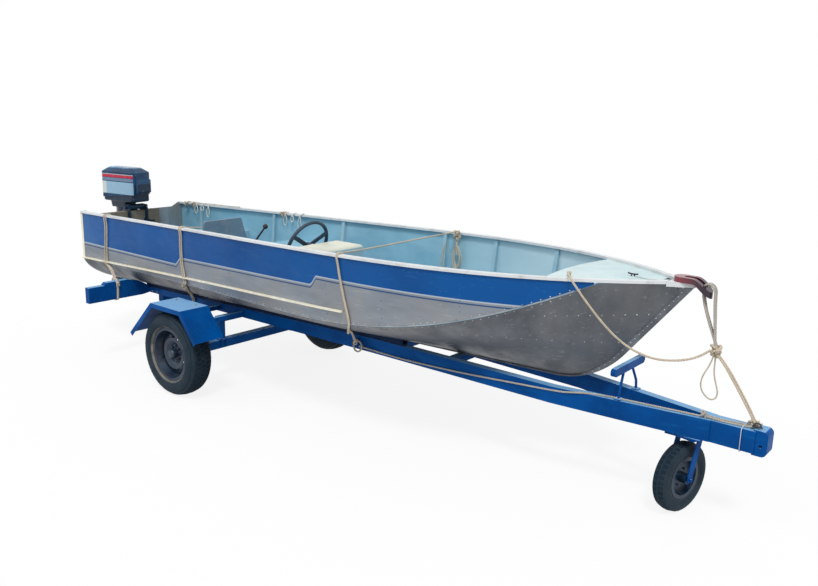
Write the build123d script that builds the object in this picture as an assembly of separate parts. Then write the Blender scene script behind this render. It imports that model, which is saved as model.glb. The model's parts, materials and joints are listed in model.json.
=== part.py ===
from build123d import *
import math
import os

# Aluminium fishing boat with its outboard motor, on its road trailer.
# Millimetres. +X runs forward to the tow nose, +Y to port and +Z up from the ground.
# The origin is on the ground, under the middle of the length from motor to tow nose.

# ---- clearances -------------------------------------------------------------------------
GAP = 0.3               # between pieces that sit against each other
BORE_CLEARANCE = 0.3    # round a turning shaft, on the radius

# ---- main places along the length -------------------------------------------------------
AXLE_TO_NOSE = 3746     # wheel axle to the tip of the tow nose
AXLE_TO_TRANSOM = 1627  # wheel axle to the outside of the transom
STEER_SETBACK = 75      # transom to the motor's steering axis
MOTOR_TURN = 10         # the motor is left turned by this many degrees
PLATE_REACH = 190       # steering axis to the centre of the motor plate's round end
PLATE_HALF_WIDTH = 85

MOTOR_REACH = PLATE_REACH * math.cos(math.radians(MOTOR_TURN)) + PLATE_HALF_WIDTH
AXLE_X = (AXLE_TO_TRANSOM + STEER_SETBACK + MOTOR_REACH - AXLE_TO_NOSE) / 2
TRANSOM_X = AXLE_X - AXLE_TO_TRANSOM
NOSE_X = AXLE_X + AXLE_TO_NOSE
STEER_X = TRANSOM_X - STEER_SETBACK

# ---- hull -------------------------------------------------------------------------------
HULL_LENGTH = 4901
SKIN = 3                # aluminium sheet
HALF_BREADTHS = (502, 550, 560, 610, 895, 0)   # control heights of the gunwale's plan curve
STERN_SHEER = 1102
BOW_SHEER = 1217
SHEER_ARCH = 3
STERN_KEEL = 450
KEEL_RISE = 1.63        # degrees
STEM_RAKE = 51.6        # degrees above level
STEM_HEAD = 1168        # height of the stem at the bow
FOREFOOT_RADIUS = 526
KEEL_BAR_DEPTH = 8
KEEL_BAR_WIDTH = 16

GUNWALE_WIDTH = 38
GUNWALE_DEPTH = 15
PANEL_INSET = 10        # side sheet behind the face of the gunwale
SIDE_FLARE = 42         # how far the seam lies inside the gunwale amidships
STERN_SEAM = 705
SEAM_SLOPE = 0.008
SEAM_RISE_AT = 0.52     # share of the length where the seam starts to sweep up
SEAM_END = 0.928        # share of the length where it meets the gunwale
SEAM_SWEEP = 2.3        # power of the sweep
BILGE_REACH = (0.87, 0.5)       # fullness of the bottom's sections at the stern and at the bow,
BILGE_RISE = (0.38, 0.5)        # as shares of the seam's distance and height
GUNWALE_END = 0.982     # the bow cap starts here
CAP_DROP = 3            # bow cap below the gunwale
CAP_DEPTH = 24
CAP_REACH = 32          # ahead of the stem head

STERN_RAIL = 716        # spray rail on the side
RAIL_SLOPE = 0.037
RAIL_END = 0.627        # share of the length where it stops
RAIL_STAND = 20
RAIL_DEPTH = 14

TRANSOM_SHEET = 4
MOTOR_CUT_HEIGHT = 1066
MOTOR_CUT_HALF = 380
CUT_CORNER_RUN = 70
MOTOR_BOARD = 40        # wooden board inside the transom
MOTOR_PAD = 6           # plate outside it
BOARD_HALF = 220

FLOOR_TOP = 652
FLOOR_SHEET = 12
RIB_WIDTH = 26
RIB_DEPTHS = (18, 18)   # at the seam and under the gunwale
BOW_RIB_DEPTHS = (46, 12)
BOW_RIBS_FROM = 0.65    # share of the length

# ---- seats, console and controls --------------------------------------------------------
BENCH_HEIGHT = 285      # seat tops above the floor
AFT_BENCH = (577, 330)          # start from the transom, fore and aft size
HELM_BENCH = (1477, 370)
SEAT_BACK_HEIGHT = 230
SEAT_BACK_SHEET = 20
CONSOLE_FROM_TRANSOM = 2407
CONSOLE_LENGTH = 250
CONSOLE_PORT = 50
CONSOLE_STARBOARD = -500
CONSOLE_TOP = 1105
HELM_FROM_TRANSOM = 2327
HELM_Y = -155
HELM_Z = 1077
HELM_RADIUS = 175
HELM_GRIP = 12
HELM_SHAFT_RADIUS = 9
HELM_SHAFT_LENGTH = 50
HELM_LEAN = 20          # degrees that the wheel leans forward from upright
CONTROL_FROM_TRANSOM = 2110
DECK_AFT_FROM_TRANSOM = 4230
DECK_SHEET = 4

# ---- outboard motor ---------------------------------------------------------------------
TILT_X = TRANSOM_X + 27
TILT_Z = 1098
TILT_TUBE_RADIUS = 14
BARREL_RADIUS = 24
COWL_AHEAD = 180
COWL_BEHIND = 226
COWL_HALF_WIDTH = 100
COWL_BOTTOM_AFT = 1168
COWL_BOTTOM_FORE = 1205
COWL_SHOULDER = 1392
COWL_TOP = 1430
COWL_GRIP = (18, 150, 115)      # carrying grip on its front: stand-off, width and height
TRAY_BOTTOM = 1140
NECK_BOTTOM = 1085
SWIVEL_BOTTOM = 760
SWIVEL_TOP = 1075
SWIVEL_RADIUS = 28
STEER_SHAFT_RADIUS = 10
LEG_SETBACK = 100       # steering axis to the middle of the leg
LEG_LENGTH = 115
LEG_WIDTH = 62
PLATE_TOP = 558
PLATE_THICKNESS = 8
PROP_SHAFT_Z = 400
GEARCASE_RADIUS = 38
SKEG_BOTTOM = 292
TORPEDO_NOSE = -5       # both from the steering axis
TORPEDO_TAIL = -172
PROP_RADIUS = 112
PROP_HUB_RADIUS = 30
PROP_HUB_LENGTH = 70
PROP_SHAFT_RADIUS = 8

# ---- road wheels ------------------------------------------------------------------------
TRACK = 1474
TYRE_RADIUS = 297
TYRE_WIDTH = 182
RIM_RADIUS = 176
BEAD_SHARE = 0.36       # half width of a tyre at its bead, as a share of the tyre's width
BEAD_HEIGHT = 13        # flat height of the bead against the rim's flange
STUB_RADIUS = 17
HUB_RADIUS = 48

# ---- trailer ----------------------------------------------------------------------------
AXLE_TUBE = 60
AXLE_DROP = 12          # axle tube below the wheel centres
RAIL_WIDTH = 50
FRAME_REAR = 1030       # behind the axle
FRAME_NECK = 3470       # ahead of the axle, where the rails meet
REAR_OUTER = 310        # outside of the rails from the centre plane, at the light bar
NECK_OUTER = 54         # and at the neck
# Rails, from the axle: distance, outside from the centre plane, underside, top
RAIL_LINE = (
    (-FRAME_REAR, REAR_OUTER, 497, 538),
    (1400, 231, 480, 575),
    (2650, 190, 463, 558),
    (FRAME_NECK, NECK_OUTER, 434, 548),
)
NOSE_BLOCK = 90
NOSE_STEP = 8           # the nose block stands this far above and below its neck
NOSE_HOLE_Z = 478
NOSE_HOLE_RADIUS = 8
LIGHT_BAR_HALF = 830
LIGHT_BAR_Z = 487
LIGHT_BAR_DEPTH = 121
LIGHT_BAR_THICKNESS = 50
CROSS_WIDTH = 60
CROSS_DEPTH = 40
CROSS_FROM_AXLE = (-900, 560, 1340, 1460, 1915)
MOUNT_INNER = 340       # posts between the axle tube and the tube across under the rails
MOUNT_WIDTH = 50
GUARD_INNER = 608
GUARD_OUTER = 840
GUARD_TOP = 645
GUARD_SHEET = 3
GUARD_LIP = 32
GUARD_POINTS = ((-420, 380), (-150, GUARD_TOP), (188, GUARD_TOP), (352, 452))
BOARD_FROM_AXLE = 2990
BOARD_Y = -20
BOARD_Z = 720
BOARD_LENGTH = 370
BOARD_HEIGHT = 44
BOARD_THICKNESS = 26

# ---- castor -----------------------------------------------------------------------------
CASTOR_FROM_AXLE = 3343
CASTOR_Y = 48
CASTOR_TRAIL = 55
CASTOR_HEADING = -104   # the wheel trails in this direction
CASTOR_TYRE_RADIUS = 187
CASTOR_TYRE_WIDTH = 82
CASTOR_RIM_RADIUS = 102
CASTOR_STEM_RADIUS = 12
CASTOR_AXLE_RADIUS = 8
CASTOR_PLATE = 9
CASTOR_BUSH = 20        # length of the bush under the plate
FORK_GAP = 58           # from the middle of the wheel to a leg
FORK_LEG = 7
FORK_LEG_WIDTH = 40


# ---- helpers ----------------------------------------------------------------------------
def box(x0, x1, y0, y1, z0, z1):
    """A block between two corners."""
    centre = ((x0 + x1) / 2, (y0 + y1) / 2, (z0 + z1) / 2)
    return Pos(*centre) * Box(abs(x1 - x0), abs(y1 - y0), abs(z1 - z0))


def rod(start, end, radius):
    """A round bar between two points."""
    start, end = Vector(*start), Vector(*end)
    return Solid.make_cylinder(radius, (end - start).length, Plane(start, z_dir=end - start))


def plate_xz(points, y0, y1):
    """A side outline pushed through from y0 to y1."""
    face = make_face(Polyline(*[(x, y0, z) for x, z in points], close=True))
    return extrude(face, y1 - y0, dir=(0, 1, 0))


def plate_yz(points, x0, x1):
    """A cross outline pushed through from x0 to x1."""
    face = make_face(Polyline(*[(x0, y, z) for y, z in points], close=True))
    return extrude(face, x1 - x0, dir=(1, 0, 0))


def section(x, points):
    """A straight-sided cross-section of the hull at x."""
    return make_face(Polyline(*[(x, y, z) for y, z in points], close=True))


def to_starboard(shape):
    return mirror(shape, about=Plane.XZ)


def both_sides(shape):
    return [shape, to_starboard(shape)]


def between(ends, share):
    return ends[0] + (ends[1] - ends[0]) * share


def edges_along(shape, axis):
    return shape.edges().filter_by(axis)


def save(name, *shapes):
    """Write one node, from one or more solids that do not touch."""
    solids = [solid for shape in shapes for solid in shape.solids()]
    whole = solids[0] if len(solids) == 1 else Compound(solids)
    whole.label = name
    export_step(whole, f"parts/{name}.step")


# ---- hull lines -------------------------------------------------------------------------
def hull_x(t):
    return TRANSOM_X + t * HULL_LENGTH


def half_breadth(t):
    """Outside of the gunwale from the centre plane."""
    n = len(HALF_BREADTHS) - 1
    return sum(math.comb(n, i) * t**i * (1 - t) ** (n - i) * b for i, b in enumerate(HALF_BREADTHS))


def sheer(t):
    """Top of the gunwale."""
    return STERN_SHEER + (BOW_SHEER - STERN_SHEER) * t + 4 * SHEER_ARCH * t * (1 - t)


def panel_top(t):
    """Top edge of the side sheet, under the gunwale."""
    return sheer(t) - GUNWALE_DEPTH - GAP


def keel_profile(offset=0.0):
    """Keel start, forefoot start, its middle and end, and stem head, moved outward by offset."""
    rise, rake = math.radians(KEEL_RISE), math.radians(STEM_RAKE)
    head_x, head_z = hull_x(1), STEM_HEAD
    start_x, start_z = TRANSOM_X, STERN_KEEL
    corner_x = (head_z - start_z + start_x * math.tan(rise) - head_x * math.tan(rake)) / (
        math.tan(rise) - math.tan(rake)
    )
    corner_z = start_z + (corner_x - start_x) * math.tan(rise)
    run = FOREFOOT_RADIUS * math.tan((rake - rise) / 2)
    centre_x = corner_x - run * math.cos(rise) - FOREFOOT_RADIUS * math.sin(rise)
    centre_z = corner_z - run * math.sin(rise) + FOREFOOT_RADIUS * math.cos(rise)

    def on_arc(angle):
        radius = FOREFOOT_RADIUS + offset
        return centre_x + radius * math.sin(angle), centre_z - radius * math.cos(angle)

    return (
        (start_x + offset * math.sin(rise), start_z - offset * math.cos(rise)),
        on_arc(rise),
        on_arc((rise + rake) / 2),
        on_arc(rake),
        (head_x + offset * math.sin(rake), head_z - offset * math.cos(rake)),
    )


def keel(t):
    """Bottom of the hull on the centre plane."""
    start, arc_start, _, arc_end, head = keel_profile()
    x = hull_x(t)
    if x <= arc_start[0]:
        return start[1] + (x - start[0]) * math.tan(math.radians(KEEL_RISE))
    if x >= arc_end[0]:
        return head[1] - (head[0] - x) * math.tan(math.radians(STEM_RAKE))
    rise = math.radians(KEEL_RISE)
    centre_x = arc_start[0] - FOREFOOT_RADIUS * math.sin(rise)
    centre_z = arc_start[1] + FOREFOOT_RADIUS * math.cos(rise)
    return centre_z - math.sqrt(FOREFOOT_RADIUS**2 - (x - centre_x) ** 2)


def seam(t):
    """The riveted seam between side and bottom: distance from the centre plane, and height."""
    if t >= SEAM_END:
        return half_breadth(t) - PANEL_INSET, panel_top(t)
    y = half_breadth(t) - PANEL_INSET - SIDE_FLARE * math.sin(math.pi * t / SEAM_END)
    z = STERN_SEAM + SEAM_SLOPE * t * HULL_LENGTH
    if t > SEAM_RISE_AT:
        rise = panel_top(SEAM_END) - STERN_SEAM - SEAM_SLOPE * SEAM_END * HULL_LENGTH
        z += rise * ((t - SEAM_RISE_AT) / (SEAM_END - SEAM_RISE_AT)) ** SEAM_SWEEP
    return y, z


def bottom_curve(t, inset=0.0):
    """Control points of the bottom's cross-section, from keel to seam."""
    seam_y, seam_z = seam(t)
    keel_z = keel(t)
    mid_y = between(BILGE_REACH, t) * seam_y
    mid_z = keel_z + between(BILGE_RISE, t) * (seam_z - keel_z)
    if not inset:
        return (GAP / 2, keel_z), (mid_y, mid_z), (seam_y, seam_z)
    keel_slope = math.atan2(mid_z - keel_z, mid_y)
    chord = math.atan2(seam_z - keel_z, seam_y)
    seam_slope = math.atan2(seam_z - mid_z, seam_y - mid_y)
    return (
        (GAP / 2, keel_z + inset / math.cos(keel_slope)),
        (mid_y - inset * math.sin(chord), mid_z + inset * math.cos(chord)),
        (seam_y - inset / math.sin(seam_slope), seam_z),
    )


def bottom_y(t, z, inset):
    """Half-breadth of the bottom at a height, inside its skin and an inset."""
    (_, z0), (y1, z1), (y2, z2) = bottom_curve(t, SKIN + inset)
    a, b, c = z0 - 2 * z1 + z2, 2 * (z1 - z0), z0 - z
    s = -c / b if abs(a) < 1e-6 else (-b + math.sqrt(b * b - 4 * a * c)) / (2 * a)
    return 2 * s * (1 - s) * y1 + s * s * y2


def side_y(t, z):
    """Outside of the side sheet at a height between seam and gunwale."""
    seam_y, seam_z = seam(t)
    top_y, top_z = half_breadth(t) - PANEL_INSET, panel_top(t)
    return seam_y + (top_y - seam_y) * (z - seam_z) / (top_z - seam_z)


def stations(first, last, count):
    return [first + (last - first) * i / (count - 1) for i in range(count)]


PANELS_START = (TRANSOM_SHEET + GAP) / HULL_LENGTH
SIDE_PANEL_END = 0.922
SHARED_STATIONS = (0.1, 0.2, 0.3, 0.4, 0.48, 0.55, 0.6, 0.65, 0.7, 0.75, 0.79, 0.82, 0.845, 0.87, 0.89, 0.907)


def stations_to(*last):
    """The stations that all the long hull pieces share, then the piece's own last ones."""
    return (PANELS_START,) + SHARED_STATIONS + last


def bottom_panel():
    faces = []
    for t in stations_to(SIDE_PANEL_END, 0.94, 0.96, GUNWALE_END, 0.992):
        x = hull_x(t)
        outer = [(x, y, z) for y, z in bottom_curve(t)]
        inner = [(x, y, z) for y, z in bottom_curve(t, SKIN)]
        edges = [
            Bezier(*outer),
            Line(outer[2], inner[2]),
            Bezier(*reversed(inner)),
            Line(inner[0], outer[0]),
        ]
        faces.append(Face(Wire(edges)))
    x, low = hull_x(GUNWALE_END), sheer(GUNWALE_END) - CAP_DROP - CAP_DEPTH - GAP
    under_cap = box(x, x + 200, -200, 200, low, low + 100)
    return loft(faces) - below_keel() - under_cap


def side_panel():
    faces = []
    for t in stations_to(SIDE_PANEL_END):
        y, z = seam(t)
        top_y = half_breadth(t) - PANEL_INSET
        low, high = z + 8 * GAP, panel_top(t)
        faces.append(section(hull_x(t), [(y, low), (top_y, high), (top_y - SKIN, high), (y - SKIN, low)]))
    return loft(faces)


def gunwale():
    faces = []
    for t in stations_to(SIDE_PANEL_END, 0.94, 0.96, GUNWALE_END):
        y, z = half_breadth(t), sheer(t)
        low = z - GUNWALE_DEPTH
        faces.append(section(hull_x(t), [(y, low), (y, z), (y - GUNWALE_WIDTH, z), (y - GUNWALE_WIDTH, low)]))
    return loft(faces)


def spray_rail():
    faces = []
    for t in (PANELS_START,) + SHARED_STATIONS[:7] + (RAIL_END,):
        z = STERN_RAIL + RAIL_SLOPE * t * HULL_LENGTH
        low, high = z - RAIL_DEPTH / 2, z + RAIL_DEPTH / 2
        inner_low, inner_high = side_y(t, low) + 2 * GAP, side_y(t, high) + 2 * GAP
        points = [(inner_low, low), (inner_low + RAIL_STAND, low + 4), (inner_low + RAIL_STAND, high - 4)]
        faces.append(section(hull_x(t), points + [(inner_high, high)]))
    return loft(faces)


def bow_cap():
    """Corner plate that closes the two gunwales over the stem."""
    x0, x1 = hull_x(GUNWALE_END) + GAP, hull_x(1) + CAP_REACH
    y0 = half_breadth(GUNWALE_END)
    top = sheer(GUNWALE_END) - CAP_DROP
    outline = Polyline((x0, -y0, 0), (x1, -8, 0), (x1, 8, 0), (x0, y0, 0), close=True)
    cap = Pos(0, 0, top - CAP_DEPTH) * extrude(make_face(outline), CAP_DEPTH)
    nose = edges_along(cap, Axis.Z).sort_by(Axis.X)[-2:]
    return fillet(nose, 6)


def keel_bar():
    """Bar along the keel and up the stem, to the underside of the bow cap."""
    cap_low = sheer(GUNWALE_END) - CAP_DROP - CAP_DEPTH - GAP
    inner, outer = list(keel_profile(GAP)), list(keel_profile(KEEL_BAR_DEPTH))
    edges = []
    for profile in (inner, outer):
        head_x, head_z = profile[4]
        profile[4] = (head_x + (cap_low - head_z) / math.tan(math.radians(STEM_RAKE)), cap_low)
        p = [(x, 0, z) for x, z in profile]
        edges += [Line(p[0], p[1]), ThreePointArc(p[1], p[2], p[3]), Line(p[3], p[4])]
    for i in (0, 4):
        edges.append(Line((inner[i][0], 0, inner[i][1]), (outer[i][0], 0, outer[i][1])))
    face = Face(Wire.combine(edges)[0])
    return extrude(face, KEEL_BAR_WIDTH / 2, dir=(0, 1, 0), both=True)


def below_keel():
    """Everything under the exact keel line, for trimming the bottom sheets."""
    start, arc_start, arc_mid, arc_end, head = [(x, 0, z) for x, z in keel_profile()]
    low_aft, low_fore = (start[0], 0, 0), (head[0] + 50, 0, 0)
    beyond = (head[0] + 50, 0, head[2] + 50 * math.tan(math.radians(STEM_RAKE)))
    edges = [
        Line(start, arc_start),
        ThreePointArc(arc_start, arc_mid, arc_end),
        Line(arc_end, beyond),
        Line(beyond, low_fore),
        Line(low_fore, low_aft),
        Line(low_aft, start),
    ]
    return extrude(Face(Wire.combine(edges)[0]), 20, dir=(0, 1, 0), both=True)


def transom():
    """Flat end sheet with the motor's cut-out in its top edge."""
    x = TRANSOM_X
    (y0, z0), (y1, z1), (y2, z2) = bottom_curve(0)
    top_y, top = half_breadth(0) - PANEL_INSET, STERN_SHEER
    edges = []
    for side in (1, -1):
        edges += [
            Bezier((x, 0, z0), (x, side * y1, z1), (x, side * y2, z2)),
            Line((x, side * y2, z2), (x, side * top_y, top)),
            Line((x, side * top_y, top), (x, side * (MOTOR_CUT_HALF + CUT_CORNER_RUN), top)),
            Line(
                (x, side * (MOTOR_CUT_HALF + CUT_CORNER_RUN), top),
                (x, side * MOTOR_CUT_HALF, MOTOR_CUT_HEIGHT),
            ),
        ]
    edges.append(Line((x, -MOTOR_CUT_HALF, MOTOR_CUT_HEIGHT), (x, MOTOR_CUT_HALF, MOTOR_CUT_HEIGHT)))
    return extrude(Face(Wire.combine(edges)[0]), TRANSOM_SHEET, dir=(1, 0, 0))


def side_rib(t):
    """Knee against the inside of the side sheet, deepest at the seam."""
    faces = []
    for x in (hull_x(t) - RIB_WIDTH / 2, hull_x(t) + RIB_WIDTH / 2):
        share = (x - TRANSOM_X) / HULL_LENGTH
        low, high = seam(share)[1] + 12, panel_top(share) - 6
        y_low = side_y(share, low) - SKIN - 2 * GAP
        y_high = side_y(share, high) - SKIN - 2 * GAP
        deep, shallow = BOW_RIB_DEPTHS if t > BOW_RIBS_FROM else RIB_DEPTHS
        points = [(y_low, low), (y_high, high), (y_high - shallow, high), (y_low - deep, low)]
        faces.append(section(x, points))
    return loft(faces, ruled=True)


RIB_SHARES = (0.06, 0.25, 0.405, 0.6, 0.688, 0.79)


def floor():
    """Floor sheet, cut to the inside of the bottom."""
    low = FLOOR_TOP - FLOOR_SHEET
    side = [(hull_x(t), bottom_y(t, low, 9 * GAP)) for t in stations(0.012, 0.78, 14)]
    port = Spline(*[(x, y, low) for x, y in side])
    starboard = Spline(*[(x, -y, low) for x, y in side])
    ends = [Line((x, -y, low), (x, y, low)) for x, y in (side[0], side[-1])]
    return extrude(Face(Wire.combine([port, starboard] + ends)[0]), FLOOR_SHEET, dir=(0, 0, 1))


def bench(start, length):
    """Closed box seat from side to side, standing on the floor."""
    low, high = FLOOR_TOP + GAP, FLOOR_TOP + BENCH_HEIGHT
    faces = []
    for x in (TRANSOM_X + start, TRANSOM_X + start + length):
        t = (x - TRANSOM_X) / HULL_LENGTH
        seam_y, seam_z = seam(t)
        half = [
            (bottom_y(t, low, 3 * GAP), low),
            (seam_y - SKIN - 6, seam_z),
            (side_y(t, high) - SKIN - 3 * GAP, high),
        ]
        faces.append(section(x, half + [(-y, z) for y, z in reversed(half)]))
    return loft(faces, ruled=True)


def seat_back():
    """Sloping back plate, standing on the helm seat's aft edge."""
    x = TRANSOM_X + HELM_BENCH[0]
    low = FLOOR_TOP + BENCH_HEIGHT + GAP
    high = low + SEAT_BACK_HEIGHT
    points = [(-400, low), (30, low), (-42, high), (-375, high)]
    back = plate_yz(points, x, x + SEAT_BACK_SHEET)
    return fillet(edges_along(back, Axis.X).sort_by(Axis.Z)[-2:], 18)


def helm_plane():
    """Plane of the steering wheel; its normal points aft and up, to the helmsman."""
    lean = math.radians(HELM_LEAN)
    normal = (-math.cos(lean), 0, math.sin(lean))
    return Plane((TRANSOM_X + HELM_FROM_TRANSOM, HELM_Y, HELM_Z), x_dir=(0, 1, 0), z_dir=normal)


def console():
    """Moulded console on the starboard side, with the wheel's bearing on its aft face."""
    x0 = TRANSOM_X + CONSOLE_FROM_TRANSOM
    low = FLOOR_TOP + GAP
    outline = [
        (CONSOLE_PORT, low),
        (CONSOLE_PORT, CONSOLE_TOP),
        (CONSOLE_STARBOARD, CONSOLE_TOP),
        (CONSOLE_STARBOARD, low + 190),
        (CONSOLE_STARBOARD + 160, low),
    ]
    shell = plate_yz(outline, x0, x0 + CONSOLE_LENGTH)
    top = [e for e in shell.edges() if e.bounding_box().min.Z > CONSOLE_TOP - 1]
    port_front = shell.edges().filter_by(Axis.Z).sort_by(Axis.X)[-1:]
    shell = fillet(top + [e for e in port_front if e not in top], 28)
    plane = helm_plane()
    bearing = plane * Pos(0, 0, -130) * Cylinder(34, 90, align=(Align.CENTER, Align.CENTER, Align.MIN))
    bore = plane * Pos(0, 0, -40 - HELM_SHAFT_LENGTH) * Cylinder(
        HELM_SHAFT_RADIUS + BORE_CLEARANCE, 100, align=(Align.CENTER, Align.CENTER, Align.MIN)
    )
    return shell + bearing - bore


def helm_wheel():
    """Three-spoke steering wheel."""
    ring = Torus(HELM_RADIUS, HELM_GRIP)
    hub = Pos(0, 0, -38) * Cylinder(26, 40, align=(Align.CENTER, Align.CENTER, Align.MIN))
    shaft = Pos(0, 0, -38 - HELM_SHAFT_LENGTH) * Cylinder(
        HELM_SHAFT_RADIUS, HELM_SHAFT_LENGTH + 1, align=(Align.CENTER, Align.CENTER, Align.MIN)
    )
    wheel = ring + hub + shaft
    for angle in (90, 210, 330):
        spoke = Pos(HELM_RADIUS / 2 + 8, 0, -9) * Box(HELM_RADIUS - 16, 30, 8)
        wheel += Rot(0, 0, angle) * spoke
    return helm_plane() * wheel


def remote_control():
    """Throttle box on the starboard side, with its lever and knob."""
    x = TRANSOM_X + CONTROL_FROM_TRANSOM
    t = (x - 60 - TRANSOM_X) / HULL_LENGTH
    wall = -(side_y(t, 980) - SKIN) - GAP
    case = fillet(edges_along(box(x - 60, x + 60, wall, wall + 55, 980, 1090), Axis.Y), 25)
    tip = (x + 190, wall + 62, 1240)
    boss = rod((x + 5, wall + 40, 1045), (x + 5, wall + 72, 1045), 18)
    lever = rod((x + 5, wall + 62, 1045), tip, 6)
    return case + boss + lever + Pos(*tip) * Sphere(17)


def bow_deck():
    """Deck plate under the forward gunwales, with a rounded aft edge."""
    faces = []
    start = DECK_AFT_FROM_TRANSOM / HULL_LENGTH
    for t in stations(start, 0.97, 4):
        y, high = half_breadth(t) - PANEL_INSET - SKIN - 14, panel_top(t)
        faces.append(section(hull_x(t), [(-y, high - DECK_SHEET), (y, high - DECK_SHEET), (y, high), (-y, high)]))
    deck = loft(faces)
    radius = 1500
    round_edge = Pos(hull_x(start) + radius, 0, sheer(start)) * Cylinder(radius, 300)
    return deck & round_edge


def bow_handle():
    """Arched lifting handle over the stem, open in its middle."""
    x0 = hull_x(1)
    outer = Pos(x0 + 20, 0, BOW_SHEER) * extrude(SlotOverall(196, 92), 200, both=True)
    inner = Pos(x0 + 32, 0, BOW_SHEER) * extrude(SlotOverall(118, 34), 200, both=True)
    foot = sheer(GUNWALE_END) - CAP_DROP + GAP
    points = [(x0 - 90, 0, foot), (x0 + 38, 0, foot), (x0 + 130, 0, foot - 75)]
    under = FilletPolyline(*points, radius=30)
    over = FilletPolyline(*[(x, y, z + 27) for x, y, z in points[:2]], (x0 + 70, 0, foot + 6),
                          (x0 + 149, 0, foot - 58), radius=60)
    band = Face(Wire([*under.edges(), Line(under @ 1, over @ 1), *over.edges(), Line(over @ 0, under @ 0)]))
    return (outer - inner) & extrude(band, 60, dir=(0, 1, 0), both=True)


def build_boat():
    bottom, side, cap_rail = bottom_panel(), side_panel(), gunwale()
    save("hull_bottom_port", bottom)
    save("hull_bottom_starboard", to_starboard(bottom))
    save("hull_side_port", side)
    save("hull_side_starboard", to_starboard(side))
    save("gunwale_port", cap_rail)
    save("gunwale_starboard", to_starboard(cap_rail))
    save("spray_rails", *both_sides(spray_rail()))
    save("bow_cap", bow_cap())
    save("keel_bar", keel_bar())
    save("transom", transom())
    inside = TRANSOM_X + TRANSOM_SHEET + GAP
    pad_x = TRANSOM_X - GAP
    save(
        "motor_board",
        box(inside, inside + MOTOR_BOARD, -BOARD_HALF, BOARD_HALF, FLOOR_TOP + GAP, MOTOR_CUT_HEIGHT),
        box(pad_x - MOTOR_PAD, pad_x, -BOARD_HALF + 40, BOARD_HALF - 40, MOTOR_CUT_HEIGHT - 245, MOTOR_CUT_HEIGHT),
    )
    save("side_ribs", *[rib for t in RIB_SHARES for rib in both_sides(side_rib(t))])
    save("floor", floor())
    save("aft_bench", bench(*AFT_BENCH))
    save("helm_bench", bench(*HELM_BENCH))
    save("helm_seat_back", seat_back())
    save("console", console())
    save("remote_control", remote_control())
    save("bow_deck", bow_deck())
    save("bow_handle", bow_handle())
    save("helm_wheel", helm_wheel())


# ---- motor ------------------------------------------------------------------------------
def motor_turned(shape):
    """Turn a piece of the motor about its steering axis, into the place where it is left."""
    return Pos(STEER_X, 0, 0) * Rot(0, 0, MOTOR_TURN) * shape


def clamp_bracket():
    """Two hook plates over the transom, joined by the tilt tube, with their clamp screws."""
    outside = TRANSOM_X - GAP - MOTOR_PAD - GAP
    inside = TRANSOM_X + TRANSOM_SHEET + GAP + MOTOR_BOARD
    top = MOTOR_CUT_HEIGHT + GAP
    outline = [
        (outside, top - 175),
        (outside, top),
        (inside + GAP, top),
        (inside + GAP, top - 115),
        (inside + 26, top - 115),
        (inside + 30, TILT_Z - 12),
        (TILT_X + 16, TILT_Z + 18),
        (TILT_X - 16, TILT_Z + 18),
        (outside - 34, top + 6),
        (outside - 34, top - 175),
    ]
    bracket = rod((TILT_X, -110, TILT_Z), (TILT_X, 110, TILT_Z), TILT_TUBE_RADIUS)
    for y in (78, -90):
        bracket += plate_xz(outline, y, y + 12)
    screw = top - 85
    for y in (84, -84):
        bracket += rod((inside + GAP, y, screw), (inside + 95, y, screw), 7)
        bracket += rod((inside + GAP, y, screw), (inside + 8, y, screw), 20)
        bracket += box(inside + 88, inside + 96, y - 28, y + 28, screw - 7, screw + 7)
    return bracket


def swivel_bracket():
    """Barrel on the tilt tube, and the upright tube that the motor steers in."""
    barrel = rod((TILT_X, -72, TILT_Z), (TILT_X, 72, TILT_Z), BARREL_RADIUS)
    upright = rod((STEER_X, 0, SWIVEL_BOTTOM), (STEER_X, 0, SWIVEL_TOP), SWIVEL_RADIUS)
    over = MOTOR_CUT_HEIGHT + 8
    outline = [
        (STEER_X, over - 60),
        (STEER_X, SWIVEL_TOP - 1),
        (STEER_X + 50, SWIVEL_TOP - 1),
        (TILT_X - 14, TILT_Z + 17),
        (TILT_X, TILT_Z + 17),
        (TILT_X, over),
        (TRANSOM_X - MOTOR_PAD - 8, over),
        (TRANSOM_X - MOTOR_PAD - 8, over - 60),
    ]
    bracket = barrel + plate_xz(outline, -45, 45) + upright
    bracket -= rod((TILT_X, -80, TILT_Z), (TILT_X, 80, TILT_Z), TILT_TUBE_RADIUS + BORE_CLEARANCE)
    return bracket - rod(
        (STEER_X, 0, SWIVEL_BOTTOM - 5), (STEER_X, 0, SWIVEL_TOP + 5), STEER_SHAFT_RADIUS + BORE_CLEARANCE
    )


def rounded_block(length, width, z0, z1, radius, middle=0.0):
    """Upright block with rounded corners, about the steering axis."""
    face = Pos(middle, 0, z0) * RectangleRounded(length, width, radius)
    return extrude(face, z1 - z0, dir=(0, 0, 1))


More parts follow.
